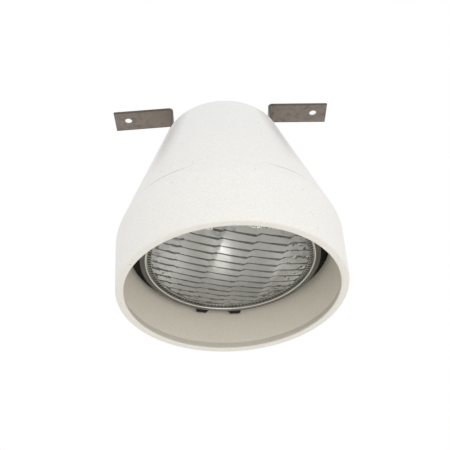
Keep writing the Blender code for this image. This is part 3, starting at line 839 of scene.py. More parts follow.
@dataclass(frozen=True)
class Aluminised:
    """The mirror inside the bowl: thin aluminium with streaks and dull spots."""

    bright: Colour = (0.98, 0.98, 0.97)
    dull: Colour = (0.93, 0.92, 0.90)

    def make(self) -> bpy.types.Material:
        """Builds the material.

        Returns:
            The material.
        """
        nodes = Nodes("mirror_glass")
        turned_place = nodes.stretched((1, 4, 1), -CLOCK)
        streak = nodes.spread(nodes.noise(28, 5, 0.65, turned_place), 0.45, 0.7)
        nodes.drive("Base Color", nodes.mix(streak, self.bright, self.dull))
        nodes.constant(Metallic=1.0)
        nodes.drive("Roughness", nodes.spread(streak, 0, 1, 0.34, 0.46))
        nodes.bump(nodes.noise(150, 3), 0.2 * MM, 0.3)
        return nodes.material


@dataclass(frozen=True)
class Ceramic:
    """Glazed steatite, ivory with fine pits."""

    glaze: Colour = (0.80, 0.77, 0.69)
    fired: Colour = (0.66, 0.60, 0.50)

    def make(self) -> bpy.types.Material:
        """Builds the material.

        Returns:
            The material.
        """
        nodes = Nodes("ceramic")
        cloud = nodes.spread(nodes.noise(70, 5, 0.6), 0.4, 0.75)
        nodes.drive("Base Color", nodes.mix(cloud, self.glaze, self.fired))
        nodes.drive("Roughness", nodes.spread(cloud, 0, 1, 0.28, 0.55))
        nodes.constant(Coat_Weight=0.25, Coat_Roughness=0.15)
        nodes.bump(nodes.spread(nodes.cells(900), 0.0, 0.25), 0.04 * MM, 0.4)
        return nodes.material


@dataclass(frozen=True)
class Brass:
    """Plain brass with brown tarnish."""

    bright: Colour = (0.74, 0.56, 0.25)
    tarnish: Colour = (0.30, 0.19, 0.08)

    def make(self) -> bpy.types.Material:
        """Builds the material.

        Returns:
            The material.
        """
        nodes = Nodes("brass")
        age = nodes.spread(nodes.noise(240, 5, 0.65), 0.42, 0.72)
        nodes.drive("Base Color", nodes.mix(age, self.bright, self.tarnish))
        nodes.constant(Metallic=1.0)
        nodes.drive("Roughness", nodes.spread(age, 0, 1, 0.25, 0.55))
        nodes.bump(nodes.noise(1200, 3), 0.02 * MM, 0.3)
        return nodes.material


@dataclass(frozen=True)
class MouldedNylon:
    """Grey nylon with the fine spark texture of its mould."""

    face: Colour = (0.25, 0.26, 0.27)
    rubbed: Colour = (0.36, 0.37, 0.38)

    def make(self) -> bpy.types.Material:
        """Builds the material.

        Returns:
            The material.
        """
        nodes = Nodes("nylon_grey")
        rub = nodes.spread(nodes.noise(110, 4, 0.6), 0.45, 0.75)
        nodes.drive("Base Color", nodes.mix(rub, self.face, self.rubbed))
        nodes.drive("Roughness", nodes.spread(rub, 0, 1, 0.62, 0.42))
        nodes.bump(nodes.noise(2200, 2, 0.6), 0.04 * MM, 0.6)
        return nodes.material


@dataclass(frozen=True)
class SealRubber:
    """Black rubber with a grey bloom."""

    face: Colour = (0.02, 0.02, 0.02)
    bloom: Colour = (0.07, 0.07, 0.07)

    def make(self) -> bpy.types.Material:
        """Builds the material.

        Returns:
            The material.
        """
        nodes = Nodes("seal_rubber")
        bloom = nodes.spread(nodes.noise(300, 4, 0.7), 0.5, 0.8)
        nodes.drive("Base Color", nodes.mix(bloom, self.face, self.bloom))
        nodes.drive("Roughness", nodes.spread(bloom, 0, 1, 0.6, 0.9))
        nodes.bump(nodes.noise(1600, 2), 0.03 * MM, 0.5)
        return nodes.material


@dataclass(frozen=True)
class WovenSleeve:
    """Braided glass yarn over a lead: small raised cells, each a little lighter or darker."""

    yarn: Colour = (0.78, 0.75, 0.66)
    gap: Colour = (0.42, 0.38, 0.30)

    def make(self) -> bpy.types.Material:
        """Builds the material.

        Returns:
            The material.
        """
        nodes = Nodes("lead_sleeve")
        braid = nodes.spread(nodes.cells(1500, vector=nodes.stretched((1, 1, 0.55))), 0.25, 0.6)
        nodes.drive("Base Color", nodes.mix(braid, self.yarn, self.gap))
        nodes.constant(Roughness=0.85, Sheen_Weight=0.3)
        nodes.bump(nodes.math("SUBTRACT", 1.0, braid), 0.15 * MM, 0.8)
        return nodes.material


@dataclass(frozen=True)
class Tungsten:
    """Drawn tungsten wire, dark and oxidised in patches."""

    wire: Colour = (0.24, 0.24, 0.26)
    oxide: Colour = (0.07, 0.07, 0.10)

    def make(self) -> bpy.types.Material:
        """Builds the material.

        Returns:
            The material.
        """
        nodes = Nodes("tungsten")
        burnt = nodes.spread(nodes.noise(700, 4, 0.6), 0.45, 0.7)
        nodes.drive("Base Color", nodes.mix(burnt, self.wire, self.oxide))
        nodes.constant(Metallic=1.0)
        nodes.drive("Roughness", nodes.spread(burnt, 0, 1, 0.35, 0.6))
        return nodes.material


class FinishRack:
    """One of each of the fixture's materials."""

    def __init__(self) -> None:
        """Builds every material once."""
        self.enamel = Enamel().make()
        self.strip = StripSteel().make()
        self.zinc = ZincPlate().make()
        self.black = BlackFinish().make()
        self.turned = TurnedSteel().make()
        self.glass = PressedGlass().make()
        # Painted shade for the prisms' steep steps and the lens's serration teeth.
        self.steps = PrismStepShade().make()
        self.mirror = Aluminised().make()
        self.ceramic = Ceramic().make()
        self.brass = Brass().make()
        self.nylon = MouldedNylon().make()
        self.rubber = SealRubber().make()
        self.sleeve = WovenSleeve().make()
        self.tungsten = Tungsten().make()


# ---------------------------------------------------------------- pieces


@dataclass
class Shade:
    """The cast white shade: skirt, cone and flat top, with a rolled lip and four gussets."""

    mouth_radius: float = 112 * MM
    rim_inner_radius: float = 103.6 * MM
    lip_radius: float = 106 * MM
    lip_height: float = 8.5 * MM
    shoulder_radius: float = 115.5 * MM
    shoulder_height: float = 58.4 * MM
    top_radius: float = 68.4 * MM
    top_height: float = 215 * MM
    wall: float = 3.6 * MM
    return_wall_radius: float = 102.1 * MM
    return_wall_top: float = 52.4 * MM
    seam_height: float = 71.5 * MM
    seam_depth: float = 0.3 * MM
    fixing_radius: float = 96 * MM
    gusset_foot: float = 66 * MM
    gusset_inner_top: float = 84 * MM
    gusset_top: float = 106 * MM
    gusset_thick: float = 5 * MM
    boss_radius: float = 5 * MM
    boss_length: float = 19 * MM
    screw_hole: float = 2.2 * MM
    screw_depth: float = 14 * MM
    gland_hole: float = 10.3 * MM
    block_hole: float = 1.8 * MM
    block_y: float = 40 * MM
    block_hole_cover: float = 1.1 * MM
    bolt_hole: float = 3.4 * MM
    bolt_x: tuple[float, float] = (33 * MM, 48 * MM)
    steps: int = 192

    def cone_radius(self, height: float) -> float:
        """Gives the cone's outer radius at a height above the mouth."""
        slope = (self.shoulder_radius - self.top_radius) / (self.top_height - self.shoulder_height)
        return self.shoulder_radius - slope * (height - self.shoulder_height)

    def _section(self) -> list[Vector]:
        """Draws the wall's section, from the gland's hole round the outside and back within.

        Returns:
            The points, from the top of the outer side round to the inside.
        """
        wall = self.wall * 1.05
        seam = self.seam_height
        corners = [
            (self.gland_hole, self.top_height),
            (self.top_radius, self.top_height, 5 * MM),
            (self.cone_radius(seam + 30 * MM), seam + 30 * MM),
            (self.cone_radius(seam + 1.2 * MM) - self.seam_depth, seam + 1.2 * MM),
            (self.cone_radius(seam + 0.6 * MM) - 2 * self.seam_depth, seam + 0.6 * MM),
            (self.cone_radius(seam), seam),
            (self.shoulder_radius, self.shoulder_height, 38 * MM),
            (self.mouth_radius, 0, 2.5 * MM),
            (self.rim_inner_radius, 0, 1.6 * MM),
            (self.lip_radius, self.lip_height, 1.0 * MM),
            (self.return_wall_radius, self.return_wall_top, 0.6 * MM),
            (self.return_wall_radius + 3 * MM, self.return_wall_top, 0.6 * MM),
            (self.lip_radius + 1.8 * MM, 16 * MM),
            (self.lip_radius + 3.2 * MM, 16 * MM),
            (self.shoulder_radius - wall, self.shoulder_height, 30 * MM),
            (self.cone_radius(self.top_height - self.wall) - wall, self.top_height - self.wall,
             3 * MM),
            (self.gland_hole, self.top_height - self.wall),
        ]
        return round_corners(corners, 12)

    def _refined(self, points: list[Vector], reach: float) -> list[Vector]:
        """Adds points to the long straight stretches, so that none is longer than a reach.

        Args:
            points: the section's points.
            reach: longest stretch that is left alone.

        Returns:
            The points with the new ones between them.
        """
        result = []
        for index, point in enumerate(points):
            after = points[(index + 1) % len(points)]
            pieces = max(1, math.ceil((after - point).length / reach))
            result += [point.lerp(after, step / pieces) for step in range(pieces)]
        return result

    def _gussets(self, shape: Shape) -> Shape:
        """Joins the four gussets with their bosses on, and drills the bosses.

        Args:
            shape: the shade, which is used up.

        Returns:
            The shade with its gussets.
        """
        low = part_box("lamp_carrier")[1].z - 5.4 * MM + 0.3 * MM
        inner = self.fixing_radius - self.boss_radius
        middle = self.wall / 2
        outline = [(inner, low), (self.return_wall_radius + 3 * MM, low),
                   (self.cone_radius(self.gusset_foot) - middle, level(self.gusset_foot)),
                   (self.cone_radius(self.gusset_top) - middle, level(self.gusset_top)),
                   (inner, level(self.gusset_inner_top))]
        angles = [CLOCK + math.radians(45 + 90 * turn) for turn in range(4)]
        for angle in angles:
            upright = Matrix.Rotation(angle, 4, "Z") @ Matrix.Rotation(math.pi / 2, 4, "X")
            shape = combined(shape, slab(outline, self.gusset_thick, upright), Cut.JOIN)
        for angle in angles:
            x = self.fixing_radius * math.cos(angle)
            y = self.fixing_radius * math.sin(angle)
            boss = drill(self.boss_radius, x, y, low, low + self.boss_length, 24)
            shape = combined(shape, boss, Cut.JOIN)
            hole = drill(self.screw_hole, x, y, low - 5 * MM, low + self.screw_depth, 16)
            shape = combined(shape, hole, Cut.AWAY)
        return shape

    def build(self, finishes: FinishRack) -> None:
        """Models the shade and dresses it.

        Args:
            finishes: the finishes to dress it in.
        """
        points = self._refined(self._section(), 12 * MM)
        shape = turned([(point.x, level(point.y)) for point in points], self.steps)
        shape = self._gussets(shape)
        low = level(self.top_height - self.wall) - 5 * MM
        high = level(self.top_height) + 5 * MM
        for side in Side:
            for x in self.bolt_x:
                shape = combined(shape, drill(self.bolt_hole, side.value * x, 0, low, high, 24),
                                 Cut.AWAY)
        blind_end = level(self.top_height) - self.block_hole_cover
        blind = drill(self.block_hole, 0, self.block_y, low, blind_end, 16)
        shape = combined(shape, blind, Cut.AWAY)
        published("shade_casting", shape, [finishes.enamel], Body.FIXTURE, ["shade"],
                  crease=32)


@dataclass
class Bracket:
    """A strip bent to a Z, with a round hole in its flange and two in its foot."""

    side: Side
    width: float = 28 * MM
    thick: float = 3 * MM
    leg_x: float = 59.3 * MM
    end_x: float = 133 * MM
    foot_end_x: float = 24 * MM
    hole_x: float = 116.5 * MM
    hole_radius: float = 4.5 * MM
    foot_holes: tuple[float, float] = (33 * MM, 48 * MM)
    droop: float = math.tan(math.radians(3.0))
    bend_outside: float = 5.5 * MM
    bend_inside: float = 2.5 * MM

    def build(self, finishes: FinishRack) -> None:
        """Models the bracket and dresses it.

        Args:
            finishes: the finishes to dress it in.
        """
        node = f"bracket_{self.side.name.lower()}"
        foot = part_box(node)[0].z
        top = 0.0
        tip = top - (self.end_x - self.leg_x) * self.droop
        outer = self.leg_x + self.thick
        corners = [
            (self.end_x, tip),
            (self.leg_x, top, self.bend_outside),
            (self.leg_x, foot + self.thick, self.bend_inside),
            (self.foot_end_x, foot + self.thick),
            (self.foot_end_x, foot),
            (outer, foot, self.bend_outside),
            (outer, top - self.thick * (1 + self.droop), self.bend_inside),
            (self.end_x, tip - self.thick),
        ]
        outline = round_corners([(self.side.value * x, *rest) for x, *rest in corners], 12)
        strip = slab(outline, self.width, Matrix.Rotation(math.pi / 2, 4, "X"))
        soften(strip, 0.45 * MM, 3, over=50)
        hole_x = self.side.value * self.hole_x
        strip = combined(strip, drill(self.hole_radius, hole_x, 0, tip - 8 * MM, 5 * MM, 48), Cut.AWAY)
        for x in self.foot_holes:
            hole = drill(3.4 * MM, self.side.value * x, 0, foot - 5 * MM, foot + 8 * MM)
            strip = combined(strip, hole, Cut.AWAY)
        published(f"{node}_strip", strip, [finishes.strip], Body.FIXTURE, [node])


@dataclass
class BracketFixings:
    """The four hex bolts that hold the brackets' feet, with washers and nuts within."""

    count: int = 4
    corner_radius: float = 5.77 * MM
    head_height: float = 4 * MM
    shank_radius: float = 2.95 * MM
    thread_pitch: float = 1.0 * MM
    thread_depth: float = 0.3 * MM

    def _bolt(self, number: int) -> Shape:
        """Models one bolt: a chamfered head and a threaded shank.

        Args:
            number: the bolt's number.

        Returns:
            The head and shank.
        """
        low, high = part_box(f"bracket_bolt_{number}")
        x = (low.x + high.x) / 2
        under = high.z - self.head_height
        head = hexagon(self.corner_radius, x, 0, under, high.z, 0.7 * MM)
        grooves = []
        z = under - 3 * MM
        while z > low.z + self.thread_pitch:
            grooves += [(self.shank_radius, z), (self.shank_radius - self.thread_depth,
                                                 z - self.thread_pitch / 2)]
            z -= self.thread_pitch
        tip = [(self.shank_radius - 0.5 * MM, low.z), (0, low.z)]
        outline = [(0, under + MM), (self.shank_radius, under + MM), *grooves, *tip]
        shank = turned(outline, 32, closed=False)
        bmesh.ops.translate(shank, vec=(x, 0, 0), verts=shank.verts)
        return combined(head, shank, Cut.JOIN)

    def build(self, finishes: FinishRack) -> None:
        """Models the bolts and dresses the washers and nuts.

        Args:
            finishes: the finishes to dress it in.
        """
        for number in range(1, self.count + 1):
            node = f"bracket_bolt_{number}"
            published(f"{node}_hex", self._bolt(number), [finishes.zinc], Body.FIXTURE,
                      [node])
            dressed(f"bracket_washer_{number}", finishes.zinc, 0.2 * MM)
            dressed(f"bracket_nut_{number}", finishes.zinc, 0.35 * MM)


@dataclass
class CableGland:
    """The nylon gland in the middle of the top: flanged body, dome nut, seal and locknut."""

    corner_radius: float = 14.4 * MM
    bore: float = 4.8 * MM
    nose_radius: float = 9.4 * MM
    thread_radius: float = 10 * MM
    thread_pitch: float = 1.5 * MM
    thread_depth: float = 0.5 * MM
    flange_height: float = 215.3 * MM
    flange_thick: float = 5 * MM
    nut_shoulder: float = 228.3 * MM
    dome_wall: float = 2.7 * MM
    rib_depth: float = 0.3 * MM
    ribs: int = 18

    def _body(self) -> Shape:
        """Models the flanged body with its two threads and its bore.

        Returns:
            The body.
        """
        low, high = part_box("gland_body")
        flange_low = level(self.flange_height)
        flange_top = flange_low + self.flange_thick
        body = hexagon(self.corner_radius, 0, 0, flange_low, flange_top, 0.8 * MM, both=True)
        pitch = self.thread_pitch
        threads = [(0, high.z), (self.nose_radius - 0.6 * MM, high.z)]
        for start, end, radius in ((high.z - MM, flange_top, self.nose_radius),
                                   (flange_low - MM, low.z + pitch, self.thread_radius)):
            turns = int((start - end) / pitch)
            for turn in range(turns):
                z = start - turn * pitch
                root = radius - self.thread_depth
                threads += [(radius, z), (radius, z - 0.2 * pitch), (root, z - pitch / 2)]
        threads += [(self.thread_radius - 0.6 * MM, low.z), (0, low.z)]
        body = combined(body, turned(threads, 64, closed=False), Cut.JOIN)
        return combined(body, drill(self.bore, 0, 0, low.z - MM, high.z + MM, 48), Cut.AWAY)

    def _dome_nut(self) -> Shape:
        """Models the dome nut: a hexagon below, a ribbed dome above.

        Returns:
            The nut.
        """
        low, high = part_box("gland_dome_nut")
        shoulder = level(self.nut_shoulder)
        nut = hexagon(self.corner_radius, 0, 0, low.z, shoulder, 0.9 * MM, both=True)
        outline = round_corners([(0, high.z), (10.8 * MM, high.z, 2 * MM), (12.4 * MM, shoulder - MM),
                                 (0, shoulder - MM)], 8)
        dome = turned(outline, self.ribs * 8, closed=False)
        for vertex in dome.verts:
            across = Vector((vertex.co.x, vertex.co.y, 0))
            if across.length > 10 * MM and vertex.co.z < high.z - 1.5 * MM:
                wave = self.rib_depth * math.cos(self.ribs * math.atan2(across.y, across.x))
                vertex.co -= across.normalized() * (self.rib_depth - wave)
        nut = combined(nut, dome, Cut.JOIN)
        cavity = drill(self.nose_radius + 0.3 * MM, 0, 0, low.z - MM, high.z - self.dome_wall, 64)
        nut = combined(nut, cavity, Cut.AWAY)
        return combined(nut, drill(self.bore, 0, 0, low.z, high.z + 5 * MM, 48), Cut.AWAY)

    def build(self, finishes: FinishRack) -> None:
        """Models the gland and dresses its seal and locknut.

        Args:
            finishes: the finishes to dress it in.
        """
        published("gland_body_moulding", self._body(), [finishes.nylon], Body.FIXTURE,
                  ["gland_body"])
        published("gland_dome_nut_moulding", self._dome_nut(), [finishes.nylon], Body.FIXTURE,
                  ["gland_dome_nut"])
        dressed("gland_seal", finishes.rubber, 0.3 * MM)
        dressed("gland_locknut", finishes.nylon, 0.4 * MM)


@dataclass
class LampCarrier:
    """The black pressed ring over the lamp's rim, with its hinge ears, screws, pins and nut."""

    screws: int = 4

    def build(self, finishes: FinishRack) -> None:
        """Dresses the carrier and its fixings.

        Args:
            finishes: the finishes to dress it in.
        """
        dressed("lamp_carrier", finishes.black, 0.2 * MM)
        for number in range(1, self.screws + 1):
            dressed(f"carrier_screw_{number}", finishes.black, 0.2 * MM)
        for side in Side:
            dressed(f"hinge_pin_{side.name.lower()}", finishes.zinc, 0.15 * MM)
        dressed("latch_nut", finishes.zinc, 0.3 * MM)


@dataclass
class PressedLens:
    """The lamp's lens: smooth outside, with rows of brick-shaped prisms on its inner face."""

    radius: float = 89 * MM
    dome_radius: float = 83.6 * MM
    prism_radius: float = 79.5 * MM
    bulge: float = 9.3 * MM
    rim_thick: float = 4.5 * MM
    row_pitch: float = 10.45 * MM
    row_start: float = 1.2 * MM
    brick_width: float = 34.5 * MM
    brick_start: float = -86 * MM
    brick_sizes: tuple[float, ...] = (0.45, 0.75, 1.0, 1.15, 0.7)
    pattern_turn: float = math.radians(13.2)
    skew: float = -0.07
    skew_origin: float = -25 * MM
    trough: float = 0.86
    dip: float = 4.6 * MM
    step_low: float = 1.1 * MM
    step_high: float = 2.5 * MM
    band_low: float = 1.9 * MM
    band_high: float = 4.9 * MM
    glass: float = 2.0 * MM
    dark_slope: float = -0.3
    pebble_depth: float = 2.0 * MM
    pebble_waves: float = 300
    pebbled_from: float = 50 * MM
    pebbled_over: float = 18 * MM
    pebbled_far: float = 90 * MM
    least_pebble: float = 0.12
    teeth_inner: float = 80 * MM
    teeth_outer: float = 83 * MM
    teeth_depth: float = 0.25 * MM
    serrations: int = 132

    def dome(self, radius: float) -> float:
        """Gives the outer face's height above the rim's plane, which is negative."""
        return -self.bulge * (1 - min(1.0, radius / self.dome_radius) ** 2)

    def _blank(self, rim: float) -> Shape:
        """Turns the lens without its prisms, with a small serrated band at its edge.

        Args:
            rim: Z of the rim's lower face.

        Returns:
            The blank.
        """
        rings = 24
        flat = rim + self.rim_thick
        outline = [(0, flat), (self.radius - 0.5 * MM, flat), (self.radius, flat - 0.5 * MM),
                   (self.radius, rim + 0.5 * MM), (self.radius - 0.5 * MM, rim)]
        for ring in range(rings, -1, -1):
            radius = self.dome_radius * ring / rings
            outline.append((radius, rim + self.dome(radius)))
        blank = turned(outline, self.serrations * 3, closed=False)
        for vertex in blank.verts:
            radius = vertex.co.xy.length
            if self.teeth_inner < radius < self.teeth_outer and vertex.co.z < rim:
                angle = math.atan2(vertex.co.y, vertex.co.x)
                vertex.co.z += self.teeth_depth * math.cos(self.serrations * angle)
        return blank

    def _columns(self) -> list[tuple[float, float, float]]:
        """Lists the pattern's lines across the rows: place, depth of the dip there, growth of the step.

        Returns:
            One triple for each line.
        """
        marks = []
        shares = (0, 0.07, 0.14, 0.22, 0.3, 0.38, 0.46, 0.54, 0.62, 0.7, 0.77, self.trough, 0.92)
        for brick, size in enumerate(self.brick_sizes):
            for share in shares:
                rise = share / self.trough
                if share > self.trough:
                    rise = (1 - share) / (1 - self.trough)
                place = self.brick_start + (brick + share) * self.brick_width
                marks.append((place, self.dip * size * rise, min(share, self.trough)))
        return marks

    def _rows(self) -> list[tuple[int, float]]:
        """Lists the pattern's lines along the rows: the row, and the share of its gentle slope."""
        return [(row, share) for row in range(-9, 9) for share in (0, 0.25, 0.5, 0.75, 1.0)]

    def _relief(self, rim: float) -> Shape:
        """Models the tool whose lower face is the prism pattern.

        Args:
            rim: Z of the rim's lower face.

        Returns:
            The tool.
        """
        columns = self._columns()
        rows = self._rows()
        tool = bmesh.new()
        bmesh.ops.create_grid(tool, x_segments=len(columns) - 1, y_segments=len(rows) - 1, size=1)
        order = sorted(tool.verts, key=lambda vertex: (round(vertex.co.y, 6), round(vertex.co.x, 6)))
        turn = Matrix.Rotation(self.pattern_turn, 2)
        for index, vertex in enumerate(order):
            across, dip, grown = columns[index % len(columns)]
            row, share = rows[index // len(columns)]
            gentle = self.row_pitch - self.band_low - (self.band_high - self.band_low) * grown
            v = self.row_start + row * self.row_pitch + share * gentle + dip
            u = across + self.skew * (v - self.skew_origin)
            place = turn @ Vector((u, v))
            radius = place.length
            step = self.step_low + (self.step_high - self.step_low) * grown
            height = self.glass + (1 - share) * step
            pebble = noise.noise(Vector((u, v, 0)) * self.pebble_waves) * self.pebble_depth
            outer = (radius - self.pebbled_from) / self.pebbled_over
            edge = min(1.0, max(self.least_pebble, outer, v / self.pebbled_far))
            vertex.co = (*place, rim + self.dome(radius) + height + pebble * edge)
        raised = bmesh.ops.extrude_face_region(tool, geom=list(tool.faces))["geom"]
        roof = [item for item in raised if isinstance(item, bmesh.types.BMVert)]
        for vertex in roof:
            vertex.co.z = rim + 20 * MM
        bmesh.ops.recalc_face_normals(tool, faces=tool.faces)
        core = drill(self.prism_radius, 0, 0, rim - 20 * MM, rim + 15 * MM, 192)
        return combined(tool, core, Cut.COMMON)

    def build(self, finishes: FinishRack) -> None:
        """Models the lens and dresses it; the prisms' steep steps get a painted shade of their own.

        Args:
            finishes: the finishes to dress it in.
        """
        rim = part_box("lamp_lens")[1].z - self.rim_thick
        lens = combined(self._blank(rim), self._relief(rim), Cut.AWAY)
        inner = rim + self.dome(0) + 0.6 * self.glass
        up_rows = Matrix.Rotation(self.pattern_turn, 2) @ Vector((0, 1))
        # Painted shade: steep prism steps and two of each three serration teeth take the dark second
        # material.
        for face in lens.faces:
            centre = face.calc_center_median()
            radius = centre.xy.length
            within = radius < self.prism_radius - 0.5 * MM
            steep = face.normal.xy.dot(up_rows) < self.dark_slope
            if within and steep and centre.z > inner:
                face.material_index = 1
            if self.teeth_inner < radius < self.teeth_outer and centre.z < rim:
                angle = math.atan2(centre.y, centre.x)
                place = angle * self.serrations * 3 / math.tau
                face.material_index = int(math.floor(place) % 3 != 0)
        published("lamp_lens_pressing", lens, [finishes.glass, finishes.steps], Body.FIXTURE,
                  ["lamp_lens"], crease=25)


@dataclass
class SealedBeam:
    """The rest of the lamp: mirrored bowl, filament on its supports, and two prongs."""

    base_radius: float = 24 * MM
    rim_radius: float = 89 * MM
    mouth_radius: float = 81.6 * MM
    skin: float = 2.6 * MM
    steps: int = 144
    coil_turns: int = 16
    coil_radius: float = 0.95 * MM
    wire_radius: float = 0.14 * MM

    def _bowl(self) -> Shape:
        """Turns the bowl, a paraboloid with a thick flange and a closed base.

        Returns:
            The bowl.
        """
        low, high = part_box("lamp_reflector")
        flange_top = level(50.6 * MM)
        neck = high.z - 6 * MM
        focus = (self.mouth_radius ** 2 - self.base_radius ** 2) / (neck - flange_top)
        vertex = neck + self.base_radius ** 2 / focus
        spans = 28
        heights = [flange_top + (neck - flange_top) * step / spans for step in range(spans + 1)]

        def across(z: float) -> float:
            """Gives the bowl's outer radius at a Z."""
            return math.sqrt((vertex - z) * focus)

        outline = [(0, high.z), (self.base_radius - MM, high.z), (self.base_radius, high.z - MM)]
        outline += [(across(z), z) for z in reversed(heights)]
        outline += [(self.rim_radius, flange_top), (self.rim_radius, low.z),
                    (across(low.z) - self.skin, low.z)]
        outline += [(across(z) - self.skin, z) for z in heights]
        outline += [(self.base_radius - self.skin, high.z - self.skin), (0, high.z - self.skin)]
        return turned(outline, self.steps, closed=False)

    def _filament(self) -> Shape:
        """Winds the filament, a coil between the two supports.

        Returns:
            The coil.
        """
        low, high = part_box("lamp_filament")
        middle = (low + high) / 2
        half = 8.6 * MM
        per_turn = 10
        count = self.coil_turns * per_turn
        curve = bpy.data.curves.new("filament_wire", "CURVE")
        curve.dimensions = "3D"
        curve.bevel_depth = self.wire_radius
        curve.bevel_resolution = 1
        curve.use_fill_caps = True
        spline = curve.splines.new("POLY")
        spline.points.add(count)
        for index, point in enumerate(spline.points):
            angle = FULL_TURN * index / per_turn
            x = -half + 2 * half * index / count
            place = Vector((x, self.coil_radius * math.cos(angle), self.coil_radius * math.sin(angle)))
            point.co = (*(CLOCKED @ place + middle), 1)
        item = bpy.data.objects.new("filament_wire", curve)
        bpy.context.scene.collection.objects.link(item)
        bpy.context.view_layer.update()
        evaluated = item.evaluated_get(bpy.context.evaluated_depsgraph_get())
        mesh = bpy.data.meshes.new_from_object(evaluated)
        coil = bmesh.new()
        coil.from_mesh(mesh)
        bpy.data.objects.remove(item)
        bpy.data.meshes.remove(mesh)
        return tidied(coil)

    def build(self, finishes: FinishRack) -> None:
        """Models the bowl and the filament, and dresses the supports and prongs.

        Args:
            finishes: the finishes to dress it in.
        """
        published("lamp_bowl", self._bowl(), [finishes.mirror], Body.FIXTURE,
                  ["lamp_reflector"])
        published("lamp_filament_coil", self._filament(), [finishes.tungsten], Body.FIXTURE,
                  ["lamp_filament"])
        for side in Side:
            name = side.name.lower()
            dressed(f"filament_support_{name}", finishes.zinc, 0.1 * MM)
            dressed(f"lamp_prong_{name}", finishes.brass, 0.2 * MM)


@dataclass
class RetainingRing:
    """The spun steel ring that holds the lamp up, with its tab, straps, clip and thumb screw."""

    inner_radius: float = 84.4 * MM
    outer_radius: float = 91 * MM
    sheet: float = 1.2 * MM
    bead_drop: float = 0.8 * MM
    tab_end: float = 99.5 * MM
    screw_radius: float = 95.5 * MM
    grooves: int = 4
    groove_depth: float = 0.22 * MM
    steps: int = 192
    knurls: int = 24

    def _hoop(self, low: float, upstand_top: float) -> Shape:
        """Turns the ring: a bead at the inner edge, a grooved flange, and a short upstand.

        Args:
            low: Z of the ring's lower face.
            upstand_top: Z of the top of its wall.

        Returns:
            The hoop.
        """
        first = self.inner_radius + 2.2 * MM
        pitch = (self.outer_radius - 0.8 * MM - first) / self.grooves
        flange = []
        for groove in reversed(range(self.grooves)):
            start = first + groove * pitch
            flange += [(start + 0.75 * pitch, low), (start + 0.5 * pitch, low + self.groove_depth),
                       (start + 0.25 * pitch, low)]
        upstand = self.outer_radius - 1.3 * MM
        bead = low - self.bead_drop
        outline = round_corners([
            (self.inner_radius, low + self.sheet, 0.4 * MM),
            (upstand, low + self.sheet),
            (upstand, upstand_top),
            (self.outer_radius, upstand_top, 0.3 * MM),
            (self.outer_radius, low, 0.6 * MM),
            *flange,
            (self.inner_radius + 1.8 * MM, low),
            (self.inner_radius + 1.3 * MM, bead, 0.45 * MM),
            (self.inner_radius, bead, 0.55 * MM),
        ], 5)
        return turned(outline, self.steps)

    def _thumb_screw(self) -> Shape:
        """Turns the thumb screw and presses the knurls into its knob.

        Returns:
            The screw.
        """
        low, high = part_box("thumb_screw")
        knob_top = low.z + 8.5 * MM
        knob = 6.3 * MM
        outline = round_corners([
            (0, high.z), (2 * MM, high.z, 0.6 * MM), (2 * MM, knob_top + 0.2 * MM),
            (4.5 * MM, knob_top + 0.2 * MM), (knob, knob_top - 1.2 * MM, 0.4 * MM),
            (knob, knob_top - 4.5 * MM), (knob, low.z, 1.2 * MM), (0, low.z),
        ], 4)
        screw = turned(outline, self.knurls * 4, closed=False)
        for vertex in screw.verts:
            across = Vector((vertex.co.x, vertex.co.y, 0))
            if across.length > 6 * MM:
                wave = math.cos(self.knurls * math.atan2(across.y, across.x))
                vertex.co -= across.normalized() * 0.3 * MM * (1 - wave)
        middle = (low + high) / 2
        bmesh.ops.translate(screw, vec=(middle.x, middle.y, 0), verts=screw.verts)
        return screw

    def build(self, finishes: FinishRack) -> None:
        """Models the ring and the thumb screw, and dresses the straps and the clip.

        Args:
            finishes: the finishes to dress it in.
        """
        low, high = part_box("retaining_ring")
        flange = low.z + self.bead_drop
        hoop = self._hoop(flange, high.z)
        root = 2.5 * MM - self.outer_radius
        corners = [(-6 * MM, root), (-6 * MM, -self.tab_end, 3 * MM), (6 * MM, -self.tab_end, 3 * MM),
                   (6 * MM, root)]
        place = CLOCKED @ Matrix.Translation((0, 0, flange + self.sheet / 2))
        tab = soften(slab(round_corners(corners), 0.8 * self.sheet, place), 0.15 * MM)
        hoop = combined(hoop, tab, Cut.JOIN)
        centre = CLOCKED @ Vector((0, -self.screw_radius, 0))
        hole = drill(2.5 * MM, centre.x, centre.y, flange - 5 * MM, flange + 5 * MM)
        published("retaining_ring_spinning", combined(hoop, hole, Cut.AWAY), [finishes.turned],
                  Body.RING, ["retaining_ring"])
        published("thumb_screw_knurled", self._thumb_screw(), [finishes.black], Body.THUMB_SCREW,
                  ["thumb_screw"])
        for side in Side:
            dressed(f"hinge_strap_{side.name.lower()}", finishes.black, 0.2 * MM)
        dressed("thumb_screw_clip", finishes.zinc, 0.2 * MM)


@dataclass
class Wiring:
    """The lampholder, the terminal block and the two sleeved leads between them."""

    def build(self, finishes: FinishRack) -> None:
        """Dresses the wiring's pieces.

        Args:
            finishes: the finishes to dress it in.
        """
        for node in ("lampholder", "terminal_block"):
            dressed(node, finishes.ceramic, 0.5 * MM)
        for side in Side:
            name = side.name.lower()
            dressed(f"lampholder_contact_{name}", finishes.brass, 0.15 * MM)
            dressed(f"lead_{name}", finishes.sleeve, 0.1 * MM)
        for number in (1, 2):
            dressed(f"terminal_screw_{number}", finishes.brass, 0.3 * MM)
        dressed("block_screw", finishes.zinc, 0.3 * MM)


# ---------------------------------------------------------------- studio


